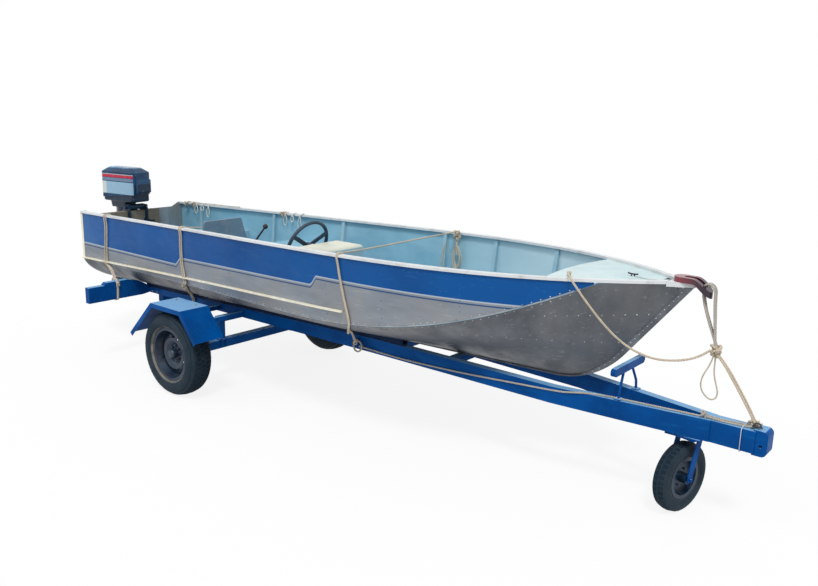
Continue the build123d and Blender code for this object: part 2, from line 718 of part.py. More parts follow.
def cowl():
    """Domed cover with a sloping lower edge and the carrying grip on its front."""
    length = COWL_AHEAD + COWL_BEHIND
    middle = (COWL_AHEAD - COWL_BEHIND) / 2
    shell = rounded_block(length, 2 * COWL_HALF_WIDTH, COWL_BOTTOM_AFT, COWL_SHOULDER, 38, middle)
    shoulder = Pos(middle, 0, COWL_SHOULDER) * RectangleRounded(length, 2 * COWL_HALF_WIDTH, 38)
    crown = Pos(middle, 0, COWL_TOP) * RectangleRounded(length - 110, 2 * COWL_HALF_WIDTH - 90, 30)
    shell += loft([shoulder.face(), crown.face()])
    shell = fillet(shell.edges().group_by(Axis.Z)[-1], 12)
    stand, width, height = COWL_GRIP
    low = COWL_BOTTOM_FORE + 14
    grip = box(COWL_AHEAD - 10, COWL_AHEAD + stand, -width / 2, width / 2, low, low + height)
    shell += fillet(edges_along(grip, Axis.Y).sort_by(Axis.X)[-2:], 12)
    return motor_turned(shell - cowl_under(GAP))


def cowl_under(offset=0.0):
    """Everything under the sloping line between cowl and tray."""
    aft, fore = -COWL_BEHIND - 50, COWL_AHEAD + 50
    slope = (COWL_BOTTOM_FORE - COWL_BOTTOM_AFT) / (COWL_AHEAD + COWL_BEHIND)
    high_aft, high_fore = COWL_BOTTOM_AFT - 50 * slope + offset, COWL_BOTTOM_FORE + 50 * slope + offset
    low = TRAY_BOTTOM - 100
    return plate_xz([(aft, low), (fore, low), (fore, high_fore), (aft, high_aft)], -300, 300)


def lower_cowl():
    length = COWL_AHEAD + COWL_BEHIND - 24
    middle = (COWL_AHEAD - COWL_BEHIND) / 2
    tray = rounded_block(length, 2 * COWL_HALF_WIDTH - 14, TRAY_BOTTOM, COWL_BOTTOM_FORE, 32, middle)
    tray = fillet(tray.edges().group_by(Axis.Z)[0], 14)
    return motor_turned(tray & cowl_under())


def leg_outline(length, width):
    """Streamlined section, blunt ahead and fine behind, about its own middle."""
    half, side = length / 2, width / 2
    rear = 3
    return [
        ThreePointArc((half * 0.55, side), (half, 0), (half * 0.55, -side)),
        Spline((half * 0.55, -side), (-half * 0.3, -side * 0.8), (-half, -rear), tangents=((-1, 0), (-1, 0.5))),
        Line((-half, -rear), (-half, rear)),
        Spline((-half, rear), (-half * 0.3, side * 0.8), (half * 0.55, side), tangents=((1, 0.5), (1, 0))),
    ]


def leg():
    """Neck, yokes and steering shaft, and the leg down to the gearcase's plate."""
    neck_low = Pos(-70, 0, NECK_BOTTOM) * RectangleRounded(190, 110, 30)
    neck_high = Pos(-58, 0, TRAY_BOTTOM - GAP) * RectangleRounded(215, 140, 36)
    body = loft([neck_low.face(), neck_high.face()])
    body += box(-LEG_SETBACK, 24, -34, 34, SWIVEL_TOP + 4, NECK_BOTTOM)
    body += box(-LEG_SETBACK, 24, -28, 28, SWIVEL_BOTTOM - 30, SWIVEL_BOTTOM - 4)
    body += rod((0, 0, SWIVEL_BOTTOM - 30), (0, 0, NECK_BOTTOM), STEER_SHAFT_RADIUS)
    outline = Face(Wire(leg_outline(LEG_LENGTH, LEG_WIDTH)))
    body += extrude(Pos(-LEG_SETBACK, 0, PLATE_TOP) * outline, NECK_BOTTOM - PLATE_TOP, dir=(0, 0, 1))
    return motor_turned(body)


def gearcase():
    """Anti-ventilation plate, strut, torpedo body, skeg and propeller shaft."""
    low = PLATE_TOP - PLATE_THICKNESS
    shape = box(-PLATE_REACH, -30, -PLATE_HALF_WIDTH, PLATE_HALF_WIDTH, low, PLATE_TOP - GAP)
    shape = fillet(edges_along(shape, Axis.Z).sort_by(Axis.X)[-2:], 60)
    shape += Pos(-PLATE_REACH, 0, low) * extrude(Circle(PLATE_HALF_WIDTH), PLATE_THICKNESS - GAP)
    outline = Face(Wire(leg_outline(LEG_LENGTH, 46)))
    shape += extrude(Pos(-LEG_SETBACK, 0, PROP_SHAFT_Z) * outline, low - PROP_SHAFT_Z, dir=(0, 0, 1))
    nose, tail = TORPEDO_NOSE, TORPEDO_TAIL
    length = nose - tail
    half_profile = Face(
        Wire(
            [
                Line((0, 0), (length, 0)),
                Bezier((length, 0), (length, 0.8 * GEARCASE_RADIUS), (length - 30, GEARCASE_RADIUS), (length - 80, GEARCASE_RADIUS)),
                Line((length - 80, GEARCASE_RADIUS), (40, GEARCASE_RADIUS)),
                Line((40, GEARCASE_RADIUS), (0, PROP_HUB_RADIUS)),
                Line((0, PROP_HUB_RADIUS), (0, 0)),
            ]
        )
    )
    torpedo = revolve(half_profile, Axis.X)
    shape += Pos(tail, 0, PROP_SHAFT_Z) * torpedo
    skeg = [(-45, PROP_SHAFT_Z), (-95, SKEG_BOTTOM), (-135, SKEG_BOTTOM), (-150, PROP_SHAFT_Z)]
    shape += plate_xz(skeg, -4, 4)
    shape += rod((tail + 5, 0, PROP_SHAFT_Z), (tail - PROP_HUB_LENGTH - 4, 0, PROP_SHAFT_Z), PROP_SHAFT_RADIUS)
    return motor_turned(shape)


def blade_section(radius, chord, pitch, rake):
    """Lens-shaped face across a blade, at a distance from the shaft."""
    plane = Plane((rake, 0, radius), x_dir=(math.cos(math.radians(pitch)), math.sin(math.radians(pitch)), 0),
                  z_dir=(0, 0, 1))
    half, thick = chord / 2, 3.2
    lens = Wire([ThreePointArc((-half, 0), (0, thick), (half, 0)), ThreePointArc((half, 0), (0, -thick), (-half, 0))])
    return plane * Face(lens)


def propeller():
    hub_start = TORPEDO_TAIL - 3
    hub = rod((hub_start, 0, 0), (hub_start - PROP_HUB_LENGTH, 0, 0), PROP_HUB_RADIUS)
    middle = hub_start - PROP_HUB_LENGTH / 2
    wheel = hub
    for index in range(3):
        blade = loft(
            [
                blade_section(PROP_HUB_RADIUS - 6, 52, 38, middle),
                blade_section(PROP_RADIUS * 0.62, 92, 52, middle - 4),
                blade_section(PROP_RADIUS - 16, 84, 60, middle - 8),
                blade_section(PROP_RADIUS, 34, 64, middle - 10),
            ]
        )
        wheel += Rot(120 * index, 0, 0) * blade
    wheel -= rod((hub_start + 1, 0, 0), (hub_start - PROP_HUB_LENGTH - 1, 0, 0), PROP_SHAFT_RADIUS + BORE_CLEARANCE)
    return motor_turned(Pos(0, 0, PROP_SHAFT_Z) * wheel)


def build_motor():
    save("motor_clamp_bracket", clamp_bracket())
    save("motor_swivel_bracket", swivel_bracket())
    save("motor_cowl", cowl())
    save("motor_lower_cowl", lower_cowl())
    save("motor_leg", leg())
    save("motor_gearcase", gearcase())
    save("propeller", propeller())


# ---- trailer ----------------------------------------------------------------------------
def along_rail(x, column):
    """Value from the rails' table; x is from the axle."""
    for start, end in zip(RAIL_LINE, RAIL_LINE[1:]):
        if x <= end[0] or end is RAIL_LINE[-1]:
            share = min(1, (x - start[0]) / (end[0] - start[0]))
            return between((start[column], end[column]), share)


def rail_outer(x):
    """Outside of a rail from the centre plane; x is from the axle."""
    return along_rail(x, 1)


def frame_z(x):
    """Underside of the rails; x is from the axle."""
    return along_rail(x, 2)


def rail_top(x):
    """Top of the rails; x is from the axle."""
    return along_rail(x, 3)


def rail():
    """Main rail, nearly straight to the bend and then in to the neck."""
    faces = []
    for x, outer, low, top in RAIL_LINE:
        inner = outer - RAIL_WIDTH
        faces.append(section(AXLE_X + x, [(outer, low), (outer, top), (inner, top), (inner, low)]))
    return loft(faces, ruled=True)


def nose():
    """Box that joins the rails, with the drilled block at its tip."""
    x0, x1 = AXLE_X + FRAME_NECK + GAP, NOSE_X
    low, high = frame_z(FRAME_NECK), rail_top(FRAME_NECK)
    neck = box(x0, x1 - 60, -NECK_OUTER + 4, NECK_OUTER - 4, low, high)
    head = box(x1 - 70, x1, -NOSE_BLOCK / 2, NOSE_BLOCK / 2, low - NOSE_STEP, high + NOSE_STEP)
    head = fillet(edges_along(head, Axis.Y).sort_by(Axis.X)[-2:], 28)
    hole_x = x1 - 32
    return neck + head - rod((hole_x, -NOSE_BLOCK, NOSE_HOLE_Z), (hole_x, NOSE_BLOCK, NOSE_HOLE_Z), NOSE_HOLE_RADIUS)


def cross_member(x):
    """Tube between the rails with the keel resting on it, held by a plate against each rail."""
    half = CROSS_WIDTH / 2
    inner = rail_outer(x + half) - RAIL_WIDTH - GAP
    over = [keel((AXLE_X + edge - TRANSOM_X) / HULL_LENGTH) for edge in (x - half, x, x + half)]
    top = min(over) - KEEL_BAR_DEPTH - 3 * GAP
    member = box(AXLE_X + x - half, AXLE_X + x + half, -inner, inner, top - CROSS_DEPTH, top)
    for side in (1, -1):
        y0, y1 = sorted((side * inner, side * (inner - 8)))
        high = max(top, rail_top(x) - 12)
        member += box(AXLE_X + x - half, AXLE_X + x + half, y0, y1, top - CROSS_DEPTH, high)
    return member


def axle_tube_across():
    """Tube across under the rails, over the axle."""
    top = frame_z(MOUNT_WIDTH / 2) - GAP
    reach, half = MOUNT_INNER + MOUNT_WIDTH, MOUNT_WIDTH / 2
    keel_low = keel((AXLE_X - TRANSOM_X) / HULL_LENGTH) - KEEL_BAR_DEPTH - 3 * GAP
    tube = box(AXLE_X - half, AXLE_X + half, -reach, reach, top - CROSS_DEPTH, top)
    return tube - box(AXLE_X - 50, AXLE_X + 50, -14, 14, keel_low - 1, keel_low + 20)


def light_bar_arm():
    """One wing of the rear bar, from the rail out to its tip."""
    x = AXLE_X - FRAME_REAR + 5
    low, high = LIGHT_BAR_Z, LIGHT_BAR_Z + LIGHT_BAR_DEPTH
    inner = REAR_OUTER + GAP
    points = [
        (inner, low + 8),
        (inner + 60, low),
        (LIGHT_BAR_HALF, low),
        (LIGHT_BAR_HALF, high),
        (LIGHT_BAR_HALF - 130, high),
        (LIGHT_BAR_HALF - 150, high + 20),
        (inner + 190, high + 20),
        (inner + 90, high - 4),
        (inner, low + 66),
    ]
    return plate_yz(points, x, x + LIGHT_BAR_THICKNESS)


def axle():
    """Axle tube with a turned stub at each end."""
    z = TYRE_RADIUS - AXLE_DROP
    half = TRACK / 2 - 95
    tube = box(AXLE_X - AXLE_TUBE / 2, AXLE_X + AXLE_TUBE / 2, -half, half, z - AXLE_TUBE / 2, z + AXLE_TUBE / 2)
    for side in (1, -1):
        tube += rod((AXLE_X, side * (half - 40), TYRE_RADIUS), (AXLE_X, side * (TRACK / 2 + 22), TYRE_RADIUS), STUB_RADIUS)
    return tube


def axle_mount():
    """Post from the axle tube up to the tube across, with its foot and head plates and bolts."""
    low = TYRE_RADIUS - AXLE_DROP + AXLE_TUBE / 2 + GAP
    high = frame_z(MOUNT_WIDTH / 2) - GAP - CROSS_DEPTH - GAP
    y0, y1 = MOUNT_INNER, MOUNT_INNER + MOUNT_WIDTH
    half = MOUNT_WIDTH / 2
    post = box(AXLE_X - half, AXLE_X + half, y0, y1, low, high)
    post += box(AXLE_X - half - 22, AXLE_X + half + 22, y0 - 8, y1 + 8, low, low + 8)
    for x in (-half - 12, half + 12):
        for y in (y0 + 4, y1 - 4):
            bolt_top = low + 18
            post += rod((AXLE_X + x, y, low - 50), (AXLE_X + x, y, bolt_top), 5)
            post += rod((AXLE_X + x, y, low + 8), (AXLE_X + x, y, bolt_top - 3), 9)
    return post


def mudguard():
    """Folded sheet guard with a lip on its outer edge."""
    outer = [(AXLE_X + x, z) for x, z in GUARD_POINTS]
    wire = Polyline(*[(x, 0, z) for x, z in outer])
    inner = offset_below(outer, GUARD_SHEET)
    sheet = plate_xz(outer + inner[::-1], GUARD_INNER, GUARD_OUTER)
    deep = offset_below(outer, GUARD_LIP)
    lip = plate_xz(outer + deep[::-1], GUARD_OUTER - GUARD_SHEET, GUARD_OUTER)
    bracket_z = frame_z(0) + 14
    guard = sheet + lip
    for x in (-120, 140):
        start = rail_outer(x - 15) + GAP
        guard += box(AXLE_X + x - 15, AXLE_X + x + 15, start, GUARD_INNER + 8, bracket_z, bracket_z + 30)
        guard += box(AXLE_X + x - 15, AXLE_X + x + 15, GUARD_INNER, GUARD_INNER + 8, bracket_z, GUARD_TOP - 1)
    return guard


def offset_below(points, depth):
    """The same folded line, moved to its underside by depth."""
    (xa, za), (xb, zb), (xc, zc), (xd, zd) = points
    rear = math.atan2(zb - za, xb - xa)
    front = math.atan2(zc - zd, xd - xc)
    return [
        (xa + depth * math.sin(rear), za - depth * math.cos(rear)),
        (xb + depth * math.tan(rear / 2), zb - depth),
        (xc - depth * math.tan(front / 2), zc - depth),
        (xd - depth * math.sin(front), zd - depth * math.cos(front)),
    ]


def bow_stop():
    """Round-ended board across the front of the stem, on two bent rods from the rails."""
    x = AXLE_X + BOARD_FROM_AXLE
    plane = Plane((x, BOARD_Y, BOARD_Z), x_dir=(0, 1, 0), z_dir=(1, 0, 0))
    board = extrude(plane * SlotOverall(BOARD_LENGTH, BOARD_HEIGHT), BOARD_THICKNESS)
    middle = x + BOARD_THICKNESS / 2
    y = rail_outer(BOARD_FROM_AXLE) - RAIL_WIDTH / 2
    top = rail_top(BOARD_FROM_AXLE - 5) + GAP
    for side in (1, -1):
        foot, knee = (middle, side * y, top + 3), (middle, side * (y - 10), (2 * top + BOARD_Z) / 3)
        board += rod(foot, knee, 7) + Pos(*knee) * Sphere(7)
        board += rod(knee, (middle, BOARD_Y + side * 48, BOARD_Z - 10), 7)
        board += box(x - 5, x + 31, side * y - 20, side * y + 20, top, top + 6)
    return board


def tyre(radius, width, rim_radius):
    """Tyre about the Y axis, at the origin."""
    half, bead = width / 2, width * BEAD_SHARE
    shoulder, crown = radius - width * 0.13, radius - width * 0.03
    wall = rim_radius + BEAD_HEIGHT
    middle = (wall + shoulder) / 2
    profile = [
        Line((rim_radius, -bead), (rim_radius, bead)),
        Line((rim_radius, bead), (wall, bead)),
        Bezier((wall, bead), (wall + 6, half * 1.06), (middle + 20, half * 1.08), (shoulder, half * 0.86)),
        Bezier((shoulder, half * 0.86), (crown, half * 0.72), (radius, half * 0.3), (radius, 0)),
        Bezier((radius, 0), (radius, -half * 0.3), (crown, -half * 0.72), (shoulder, -half * 0.86)),
        Bezier((shoulder, -half * 0.86), (middle + 20, -half * 1.08), (wall + 6, -half * 1.06), (wall, -bead)),
        Line((wall, -bead), (rim_radius, -bead)),
    ]
    return revolve(Face(Wire(profile)), Axis.Y)


def road_rim():
    """Pressed steel wheel about the Y axis; its outer face looks to +Y."""
    bead, seat = RIM_RADIUS - GAP, TYRE_WIDTH * BEAD_SHARE + GAP
    flange = RIM_RADIUS + BEAD_HEIGHT - 1
    barrel = [
        (bead, -seat),
        (bead, seat),
        (flange, seat),
        (flange, seat + 5),
        (bead - 6, seat + 5),
        (bead - 22, 22),
        (bead - 22, -22),
        (bead - 6, -seat - 5),
        (flange, -seat - 5),
        (flange, -seat),
    ]
    ring = revolve(make_face(Polyline(*barrel, close=True)), Axis.Y)
    disc = [(0, 12), (60, 12), (85, 30), (112, 34), (bead - 20, 8), (bead - 20, 3), (110, 28), (87, 24), (62, 5), (0, 5)]
    wheel = ring + revolve(make_face(Polyline(*disc, close=True)), Axis.Y)
    for index in range(8):
        angle = math.radians(45 * index + 22.5)
        x, z = 122 * math.cos(angle), 122 * math.sin(angle)
        wheel -= rod((x, 0, z), (x, 60, z), 11)
    for index in range(4):
        angle = math.radians(90 * index + 45)
        x, z = 50 * math.cos(angle), 50 * math.sin(angle)
        wheel += rod((x, 8, z), (x, 26, z), 9)
    hub = rod((0, -60, 0), (0, 8, 0), HUB_RADIUS) + rod((0, 10, 0), (0, 44, 0), 30)
    wheel += hub
    return wheel - rod((0, -70, 0), (0, 26, 0), STUB_RADIUS + BORE_CLEARANCE)


def build_trailer():
    save("frame_rail_port", rail())
    save("frame_rail_starboard", to_starboard(rail()))
    save("tow_nose", nose())
    save("cross_members", axle_tube_across(), *[cross_member(x) for x in CROSS_FROM_AXLE])
    save("rear_light_bar", *both_sides(light_bar_arm()))
    save("axle", axle())
    save("axle_mount_port", axle_mount())
    save("axle_mount_starboard", to_starboard(axle_mount()))
    save("mudguard_port", mudguard())
    save("mudguard_starboard", to_starboard(mudguard()))
    save("bow_stop", bow_stop())
    for name, side in (("port", 1), ("starboard", -1)):
        place = Pos(AXLE_X, side * TRACK / 2, TYRE_RADIUS)
        rim = road_rim() if side == 1 else to_starboard(road_rim())
        save(f"tyre_{name}", place * tyre(TYRE_RADIUS, TYRE_WIDTH, RIM_RADIUS))
        save(f"rim_{name}", place * rim)


# ---- castor -----------------------------------------------------------------------------
def castor_place():
    """Wheel centre's frame: X along the trail, Y along the wheel's axle."""
    heading = math.radians(CASTOR_HEADING)
    return (
        AXLE_X + CASTOR_FROM_AXLE + CASTOR_TRAIL * math.cos(heading),
        CASTOR_Y + CASTOR_TRAIL * math.sin(heading),
        CASTOR_TYRE_RADIUS,
    )


def castor_plate_top():
    return frame_z(CASTOR_FROM_AXLE + 90) - GAP


def castor_plate():
    """Plate under the rails with the bush for the castor's stem below it."""
    x, top = AXLE_X + CASTOR_FROM_AXLE, castor_plate_top()
    low = top - CASTOR_PLATE
    plate = box(x - 90, x + 90, -74, 74, low, top)
    bush = rod((x, CASTOR_Y, low - CASTOR_BUSH), (x, CASTOR_Y, low), 22)
    bore = rod((x, CASTOR_Y, low - 60), (x, CASTOR_Y, top + 60), CASTOR_STEM_RADIUS + BORE_CLEARANCE)
    return plate + bush - bore


def castor_fork():
    """Two flat legs from a crown plate to the wheel's axle, and the stem above it."""
    bush_low = castor_plate_top() - CASTOR_PLATE - CASTOR_BUSH
    crown_top = bush_low - GAP
    crown = box(-24, CASTOR_TRAIL + 8, -FORK_GAP - FORK_LEG, FORK_GAP + FORK_LEG, crown_top - 8, crown_top)
    fork = crown + rod((0, 0, crown_top - 8), (0, 0, bush_low + CASTOR_BUSH + 3), CASTOR_STEM_RADIUS)
    half = FORK_LEG_WIDTH / 2
    hub_z = CASTOR_TYRE_RADIUS
    outline = [
        (-20, crown_top - 2),
        (22, crown_top - 2),
        (CASTOR_TRAIL + half, hub_z + 30),
        (CASTOR_TRAIL + half, hub_z - 14),
        (CASTOR_TRAIL - half, hub_z - 14),
        (CASTOR_TRAIL - half, hub_z + 20),
    ]
    for y in (FORK_GAP, -FORK_GAP - FORK_LEG):
        fork += plate_xz(outline, y, y + FORK_LEG)
    fork += rod((CASTOR_TRAIL, -FORK_GAP - 16, hub_z), (CASTOR_TRAIL, FORK_GAP + 16, hub_z), CASTOR_AXLE_RADIUS)
    return Pos(AXLE_X + CASTOR_FROM_AXLE, CASTOR_Y, 0) * Rot(0, 0, CASTOR_HEADING) * fork


def castor_rim():
    bead, seat = CASTOR_RIM_RADIUS - GAP, CASTOR_TYRE_WIDTH * BEAD_SHARE + GAP
    flange, edge = CASTOR_RIM_RADIUS + BEAD_HEIGHT - 1, seat + 4
    hub = FORK_GAP - 6
    half = [(4, hub), (26, hub), (28, 8), (bead - 12, 6), (bead - 8, edge), (flange, edge), (flange, seat), (bead, seat)]
    disc = half + [(r, -y) for r, y in reversed(half)]
    wheel = revolve(make_face(Polyline(*disc, close=True)), Axis.Y)
    return wheel - rod((0, -FORK_GAP, 0), (0, FORK_GAP, 0), CASTOR_AXLE_RADIUS + BORE_CLEARANCE)


def build_castor():
    place = Pos(*castor_place()) * Rot(0, 0, CASTOR_HEADING)
    save("castor_plate", castor_plate())
    save("castor_fork", castor_fork())
    save("castor_tyre", place * tyre(CASTOR_TYRE_RADIUS, CASTOR_TYRE_WIDTH, CASTOR_RIM_RADIUS))
    save("castor_rim", place * castor_rim())


# ---- ropes ------------------------------------------------------------------------------
ROPE_RADIUS = 6
TAIL_RADIUS = 4
DROP_RADIUS = 5
KNOT = (2553, 0, 896)
KNOT_RADIUS = 26
PAINTER_ROUTE = (
    (2491, -35, 854),
    (2410, -80, 825),
    (2300, -141, 822),
    (2204, -197, 864),
    (2127, -246, 930),
    (2056, -292, 1018),
    (1995, -338, 1112),
    (1945, -368, 1190),
    (1908, -362, 1231),
    (1885, -318, 1235),
    (1868, -278, 1222),
    (1856, -254, 1210),
)
PAINTER_END = (1835, -217)
PAINTER_KNOT_RADIUS = 14
TAIL_ROUTE = (
    (2541, -11, 834),
    (2530, -20, 800),
    (2514, -33, 762),
    (2508, -38, 718),
    (2517, -31, 680),
    (2536, -15, 650),
    (2556, 1, 634),
    (2575, 15, 643),
    (2580, 20, 672),
    (2571, 14, 709),
    (2561, 6, 748),
    (2555, 2, 788),
    (2555, 3, 829),
)
DROP_ROUTE = (
    (447, 552, 1066),
    (440, 549, 1030),
    (437, 547, 985),
    (431, 548, 940),
    (429, 546, 896),
    (425, 547, 858),
)
GUNWALE_KNOT_X = 545
GUNWALE_KNOT_Z = 1168
GUNWALE_KNOT_RADIUS = 22
STRAND_END = (455, 1108)
STRAND_RADIUS = 11
HANK_SIZE = (62, 34, 176)
HANK_TOP_Z = 1096


def toward(centre, point, distance):
    """The point at a distance from a centre, on the line to another point."""
    centre, point = Vector(*centre), Vector(*point)
    return tuple(centre + (point - centre).normalized() * distance)


def knot_side_y():
    """Knots on the port gunwale lie against its inner face."""
    t = (GUNWALE_KNOT_X - TRANSOM_X) / HULL_LENGTH
    return half_breadth(t) - GUNWALE_WIDTH - GUNWALE_KNOT_RADIUS - GAP


def rope_tube(route, radius, label):
    """Straight runs joined by the largest tangent arcs that they allow."""
    points = [Vector(*point) for point in route]
    radii = []
    for before, point, after in zip(points, points[1:], points[2:]):
        run_in, run_out = point - before, after - point
        half_turn = math.radians(run_in.get_angle(run_out)) / 2
        radii.append(0.45 * min(run_in.length, run_out.length) / math.tan(half_turn))
    path = FilletPolyline(*points, radius=radii)
    tube = sweep(Plane(path @ 0, z_dir=path % 0) * Circle(radius), path=path)
    ratio = tube.volume / (math.pi * radius**2 * path.length)
    print(label, "length", round(path.length), "volume ratio", round(ratio, 3), "radii", [round(r) for r in radii])
    return tube


def bow_lashing():
    """Taut rope from the bow handle to a knot, and from there to the tow nose."""
    front = hull_x(1) + 118
    foot = sheer(GUNWALE_END) - CAP_DROP + GAP
    loop = [
        KNOT,
        (front + 14, 0, foot - 78),
        (front + 12, 0, foot - 14),
        (front - 16, 0, foot + 8),
        (front - 40, 0, foot - 6),
        (front - 42, 0, foot - 64),
        KNOT,
    ]
    rope = Pos(*KNOT) * Sphere(KNOT_RADIUS)
    for start, end in zip(loop, loop[1:]):
        rope += rod(start, end, ROPE_RADIUS)
        if end != KNOT:
            rope += Pos(*end) * Sphere(ROPE_RADIUS)
    nose_top = rail_top(FRAME_NECK) + NOSE_STEP + GAP
    tie = (NOSE_X - 96 + 60, 0, nose_top + 20)
    rope += rod(KNOT, tie, ROPE_RADIUS)
    return rope + Pos(*tie) * Sphere(20)


def gunwale_knot():
    """Knot against the port gunwale, the strand that leads into it, and the spare rope's hank below."""
    y = knot_side_y()
    width, depth, height = HANK_SIZE
    knot = (GUNWALE_KNOT_X, y, GUNWALE_KNOT_Z)
    strand = (STRAND_END[0], y - 4, STRAND_END[1])
    shape = Pos(*knot) * Sphere(GUNWALE_KNOT_RADIUS) + rod(knot, strand, STRAND_RADIUS)
    shape += Pos(*strand) * Sphere(STRAND_RADIUS)
    shape += rod(knot, (GUNWALE_KNOT_X + 8, y, HANK_TOP_Z - 30), 14)
    plane = Plane((GUNWALE_KNOT_X + 8, y - depth / 2, HANK_TOP_Z - height / 2), x_dir=(0, 0, 1), z_dir=(0, 1, 0))
    return shape + fillet(extrude(plane * SlotOverall(height, width), depth).edges(), 10)


def build_ropes():
    save("bow_lashing", bow_lashing())
    x, y = PAINTER_END
    end = (x, y, panel_top((x - TRANSOM_X) / HULL_LENGTH) + PAINTER_KNOT_RADIUS + GAP)
    painter = [
        toward(KNOT, PAINTER_ROUTE[0], KNOT_RADIUS + GAP),
        *PAINTER_ROUTE,
        toward(end, PAINTER_ROUTE[-1], PAINTER_KNOT_RADIUS + GAP),
    ]
    tail = [
        toward(KNOT, TAIL_ROUTE[0], KNOT_RADIUS + GAP),
        *TAIL_ROUTE,
        toward(KNOT, TAIL_ROUTE[-1], KNOT_RADIUS + GAP),
    ]
    strand = (STRAND_END[0], knot_side_y() - 4, STRAND_END[1])
    drop = [toward(strand, DROP_ROUTE[0], STRAND_RADIUS + GAP), *DROP_ROUTE]
    save("painter", rope_tube(painter, ROPE_RADIUS, "painter"))
    save("painter_knot", Pos(*end) * Sphere(PAINTER_KNOT_RADIUS))
    save("rope_tail", rope_tube(tail, TAIL_RADIUS, "rope_tail"))
    save("rope_drop", rope_tube(drop, DROP_RADIUS, "rope_drop"))
    save("rope_hank", gunwale_knot())


os.makedirs("parts", exist_ok=True)
build_boat()
build_motor()
build_trailer()
build_castor()
build_ropes()
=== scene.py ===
import json
import math

import bpy
from mathutils import Matrix, Vector
from mathutils.bvhtree import BVHTree


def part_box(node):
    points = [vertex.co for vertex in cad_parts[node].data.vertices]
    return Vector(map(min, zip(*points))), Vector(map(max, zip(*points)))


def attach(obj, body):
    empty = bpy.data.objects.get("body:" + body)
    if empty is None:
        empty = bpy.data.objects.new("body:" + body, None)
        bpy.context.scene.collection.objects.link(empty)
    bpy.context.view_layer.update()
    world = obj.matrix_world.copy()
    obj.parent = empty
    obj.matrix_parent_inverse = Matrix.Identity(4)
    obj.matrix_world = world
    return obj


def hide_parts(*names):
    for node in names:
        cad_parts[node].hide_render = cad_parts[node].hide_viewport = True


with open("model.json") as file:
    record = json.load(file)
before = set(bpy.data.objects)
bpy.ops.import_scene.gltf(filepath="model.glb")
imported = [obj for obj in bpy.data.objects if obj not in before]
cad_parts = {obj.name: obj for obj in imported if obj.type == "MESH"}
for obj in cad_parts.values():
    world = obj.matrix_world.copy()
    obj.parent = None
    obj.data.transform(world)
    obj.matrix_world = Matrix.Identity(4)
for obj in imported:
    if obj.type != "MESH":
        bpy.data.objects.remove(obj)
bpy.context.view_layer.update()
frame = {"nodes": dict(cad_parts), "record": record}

scene = bpy.context.scene
scene.view_settings.view_transform = "Standard"
nodes = frame["nodes"]

# Metres in the part's frame: x to the bow, y to port, z up from the ground.
BOAT = "boat_on_trailer"
AXLE_X, WHEEL_Y, WHEEL_Z = -0.88594, 0.737, 0.297
TRANSOM_X, HULL_LENGTH, NOSE_X = -2.51294, 4.901, 2.86006
RIB_SHARES = (0.06, 0.25, 0.405, 0.6, 0.688, 0.79)  # of the hull's length, from the transom
STEER_X, MOTOR_TURN = -2.58794, math.radians(10)
CASTOR_HEADING = math.radians(-104)
CASTOR_AXIS = Vector((-math.sin(CASTOR_HEADING), math.cos(CASTOR_HEADING), 0))
SIDES = {"port": 1, "starboard": -1}
UP, DOWN = Vector((0, 0, 1)), Vector((0, 0, -1))
ROPE = 0.0055  # radius of the common rope
SENSOR, PHOTO_WIDTH, FOCAL_PIXELS = 36.0, 818, 817.698


# ---- camera
def make_camera():
    """Camera solved from the photo."""
    yaw, pitch, roll = math.radians(39.1278), math.radians(13.3904), math.radians(1.4340)
    back = Vector((math.sin(yaw) * math.cos(pitch), -math.cos(yaw) * math.cos(pitch), math.sin(pitch)))
    level = (-back).cross(UP).normalized()
    upright = level.cross(-back).normalized()
    right = math.cos(roll) * level + math.sin(roll) * upright
    up = -math.sin(roll) * level + math.cos(roll) * upright
    place = Matrix((right, up, back)).transposed().to_4x4()
    place.translation = Vector((3.816, -3.965, 2.068))
    data = bpy.data.cameras.new("camera")
    data.sensor_width, data.lens = SENSOR, FOCAL_PIXELS / PHOTO_WIDTH * SENSOR
    data.clip_end = 100
    camera = bpy.data.objects.new("camera", data)
    camera.matrix_world = place
    scene.collection.objects.link(camera)
    scene.camera = camera


make_camera()


# ---- materials
def rgb(color):
    """Linear colour from the six hex digits of a display colour."""
    levels = (v / 255 for v in bytes.fromhex(color))
    return tuple(v / 12.92 if v < 11 / 255 else ((v + 0.055) / 1.055) ** 2.4 for v in levels) + (1.0,)


class Tree:
    """Shader nodes of a world or a material; most calls add nodes and give back a socket."""

    def __init__(self, owner):
        owner.use_nodes = True
        self.t = owner.node_tree

    def n(self, kind, *inputs, **props):
        node = self.t.nodes.new("ShaderNode" + kind)
        for key, value in props.items():
            setattr(node, key, value)
        for socket, value in zip(node.inputs, inputs):
            self.put(socket, value)
        return node

    def put(self, socket, value):
        if isinstance(value, bpy.types.NodeSocket):
            self.t.links.new(value, socket)
        elif value is not None:
            socket.default_value = value

    def math(self, operation, *values):
        return self.n("Math", *values, operation=operation).outputs[0]

    def times(self, a, b):
        return self.math("MULTIPLY", a, b)

    def seen(self):
        """1 for rays from the camera, off glossy surfaces and through clear ones."""
        path = self.n("LightPath").outputs
        glossy = self.math("MAXIMUM", path["Is Camera Ray"], path["Is Glossy Ray"])
        return self.math("MAXIMUM", glossy, path["Is Transmission Ray"])

    def blend(self, output, share, first, second):
        """Lead a mix of two shaders to the output."""
        mixed = self.n("MixShader", share, first.outputs[0], second.outputs[0]).outputs[0]
        self.put(self.t.nodes[output].inputs["Surface"], mixed)


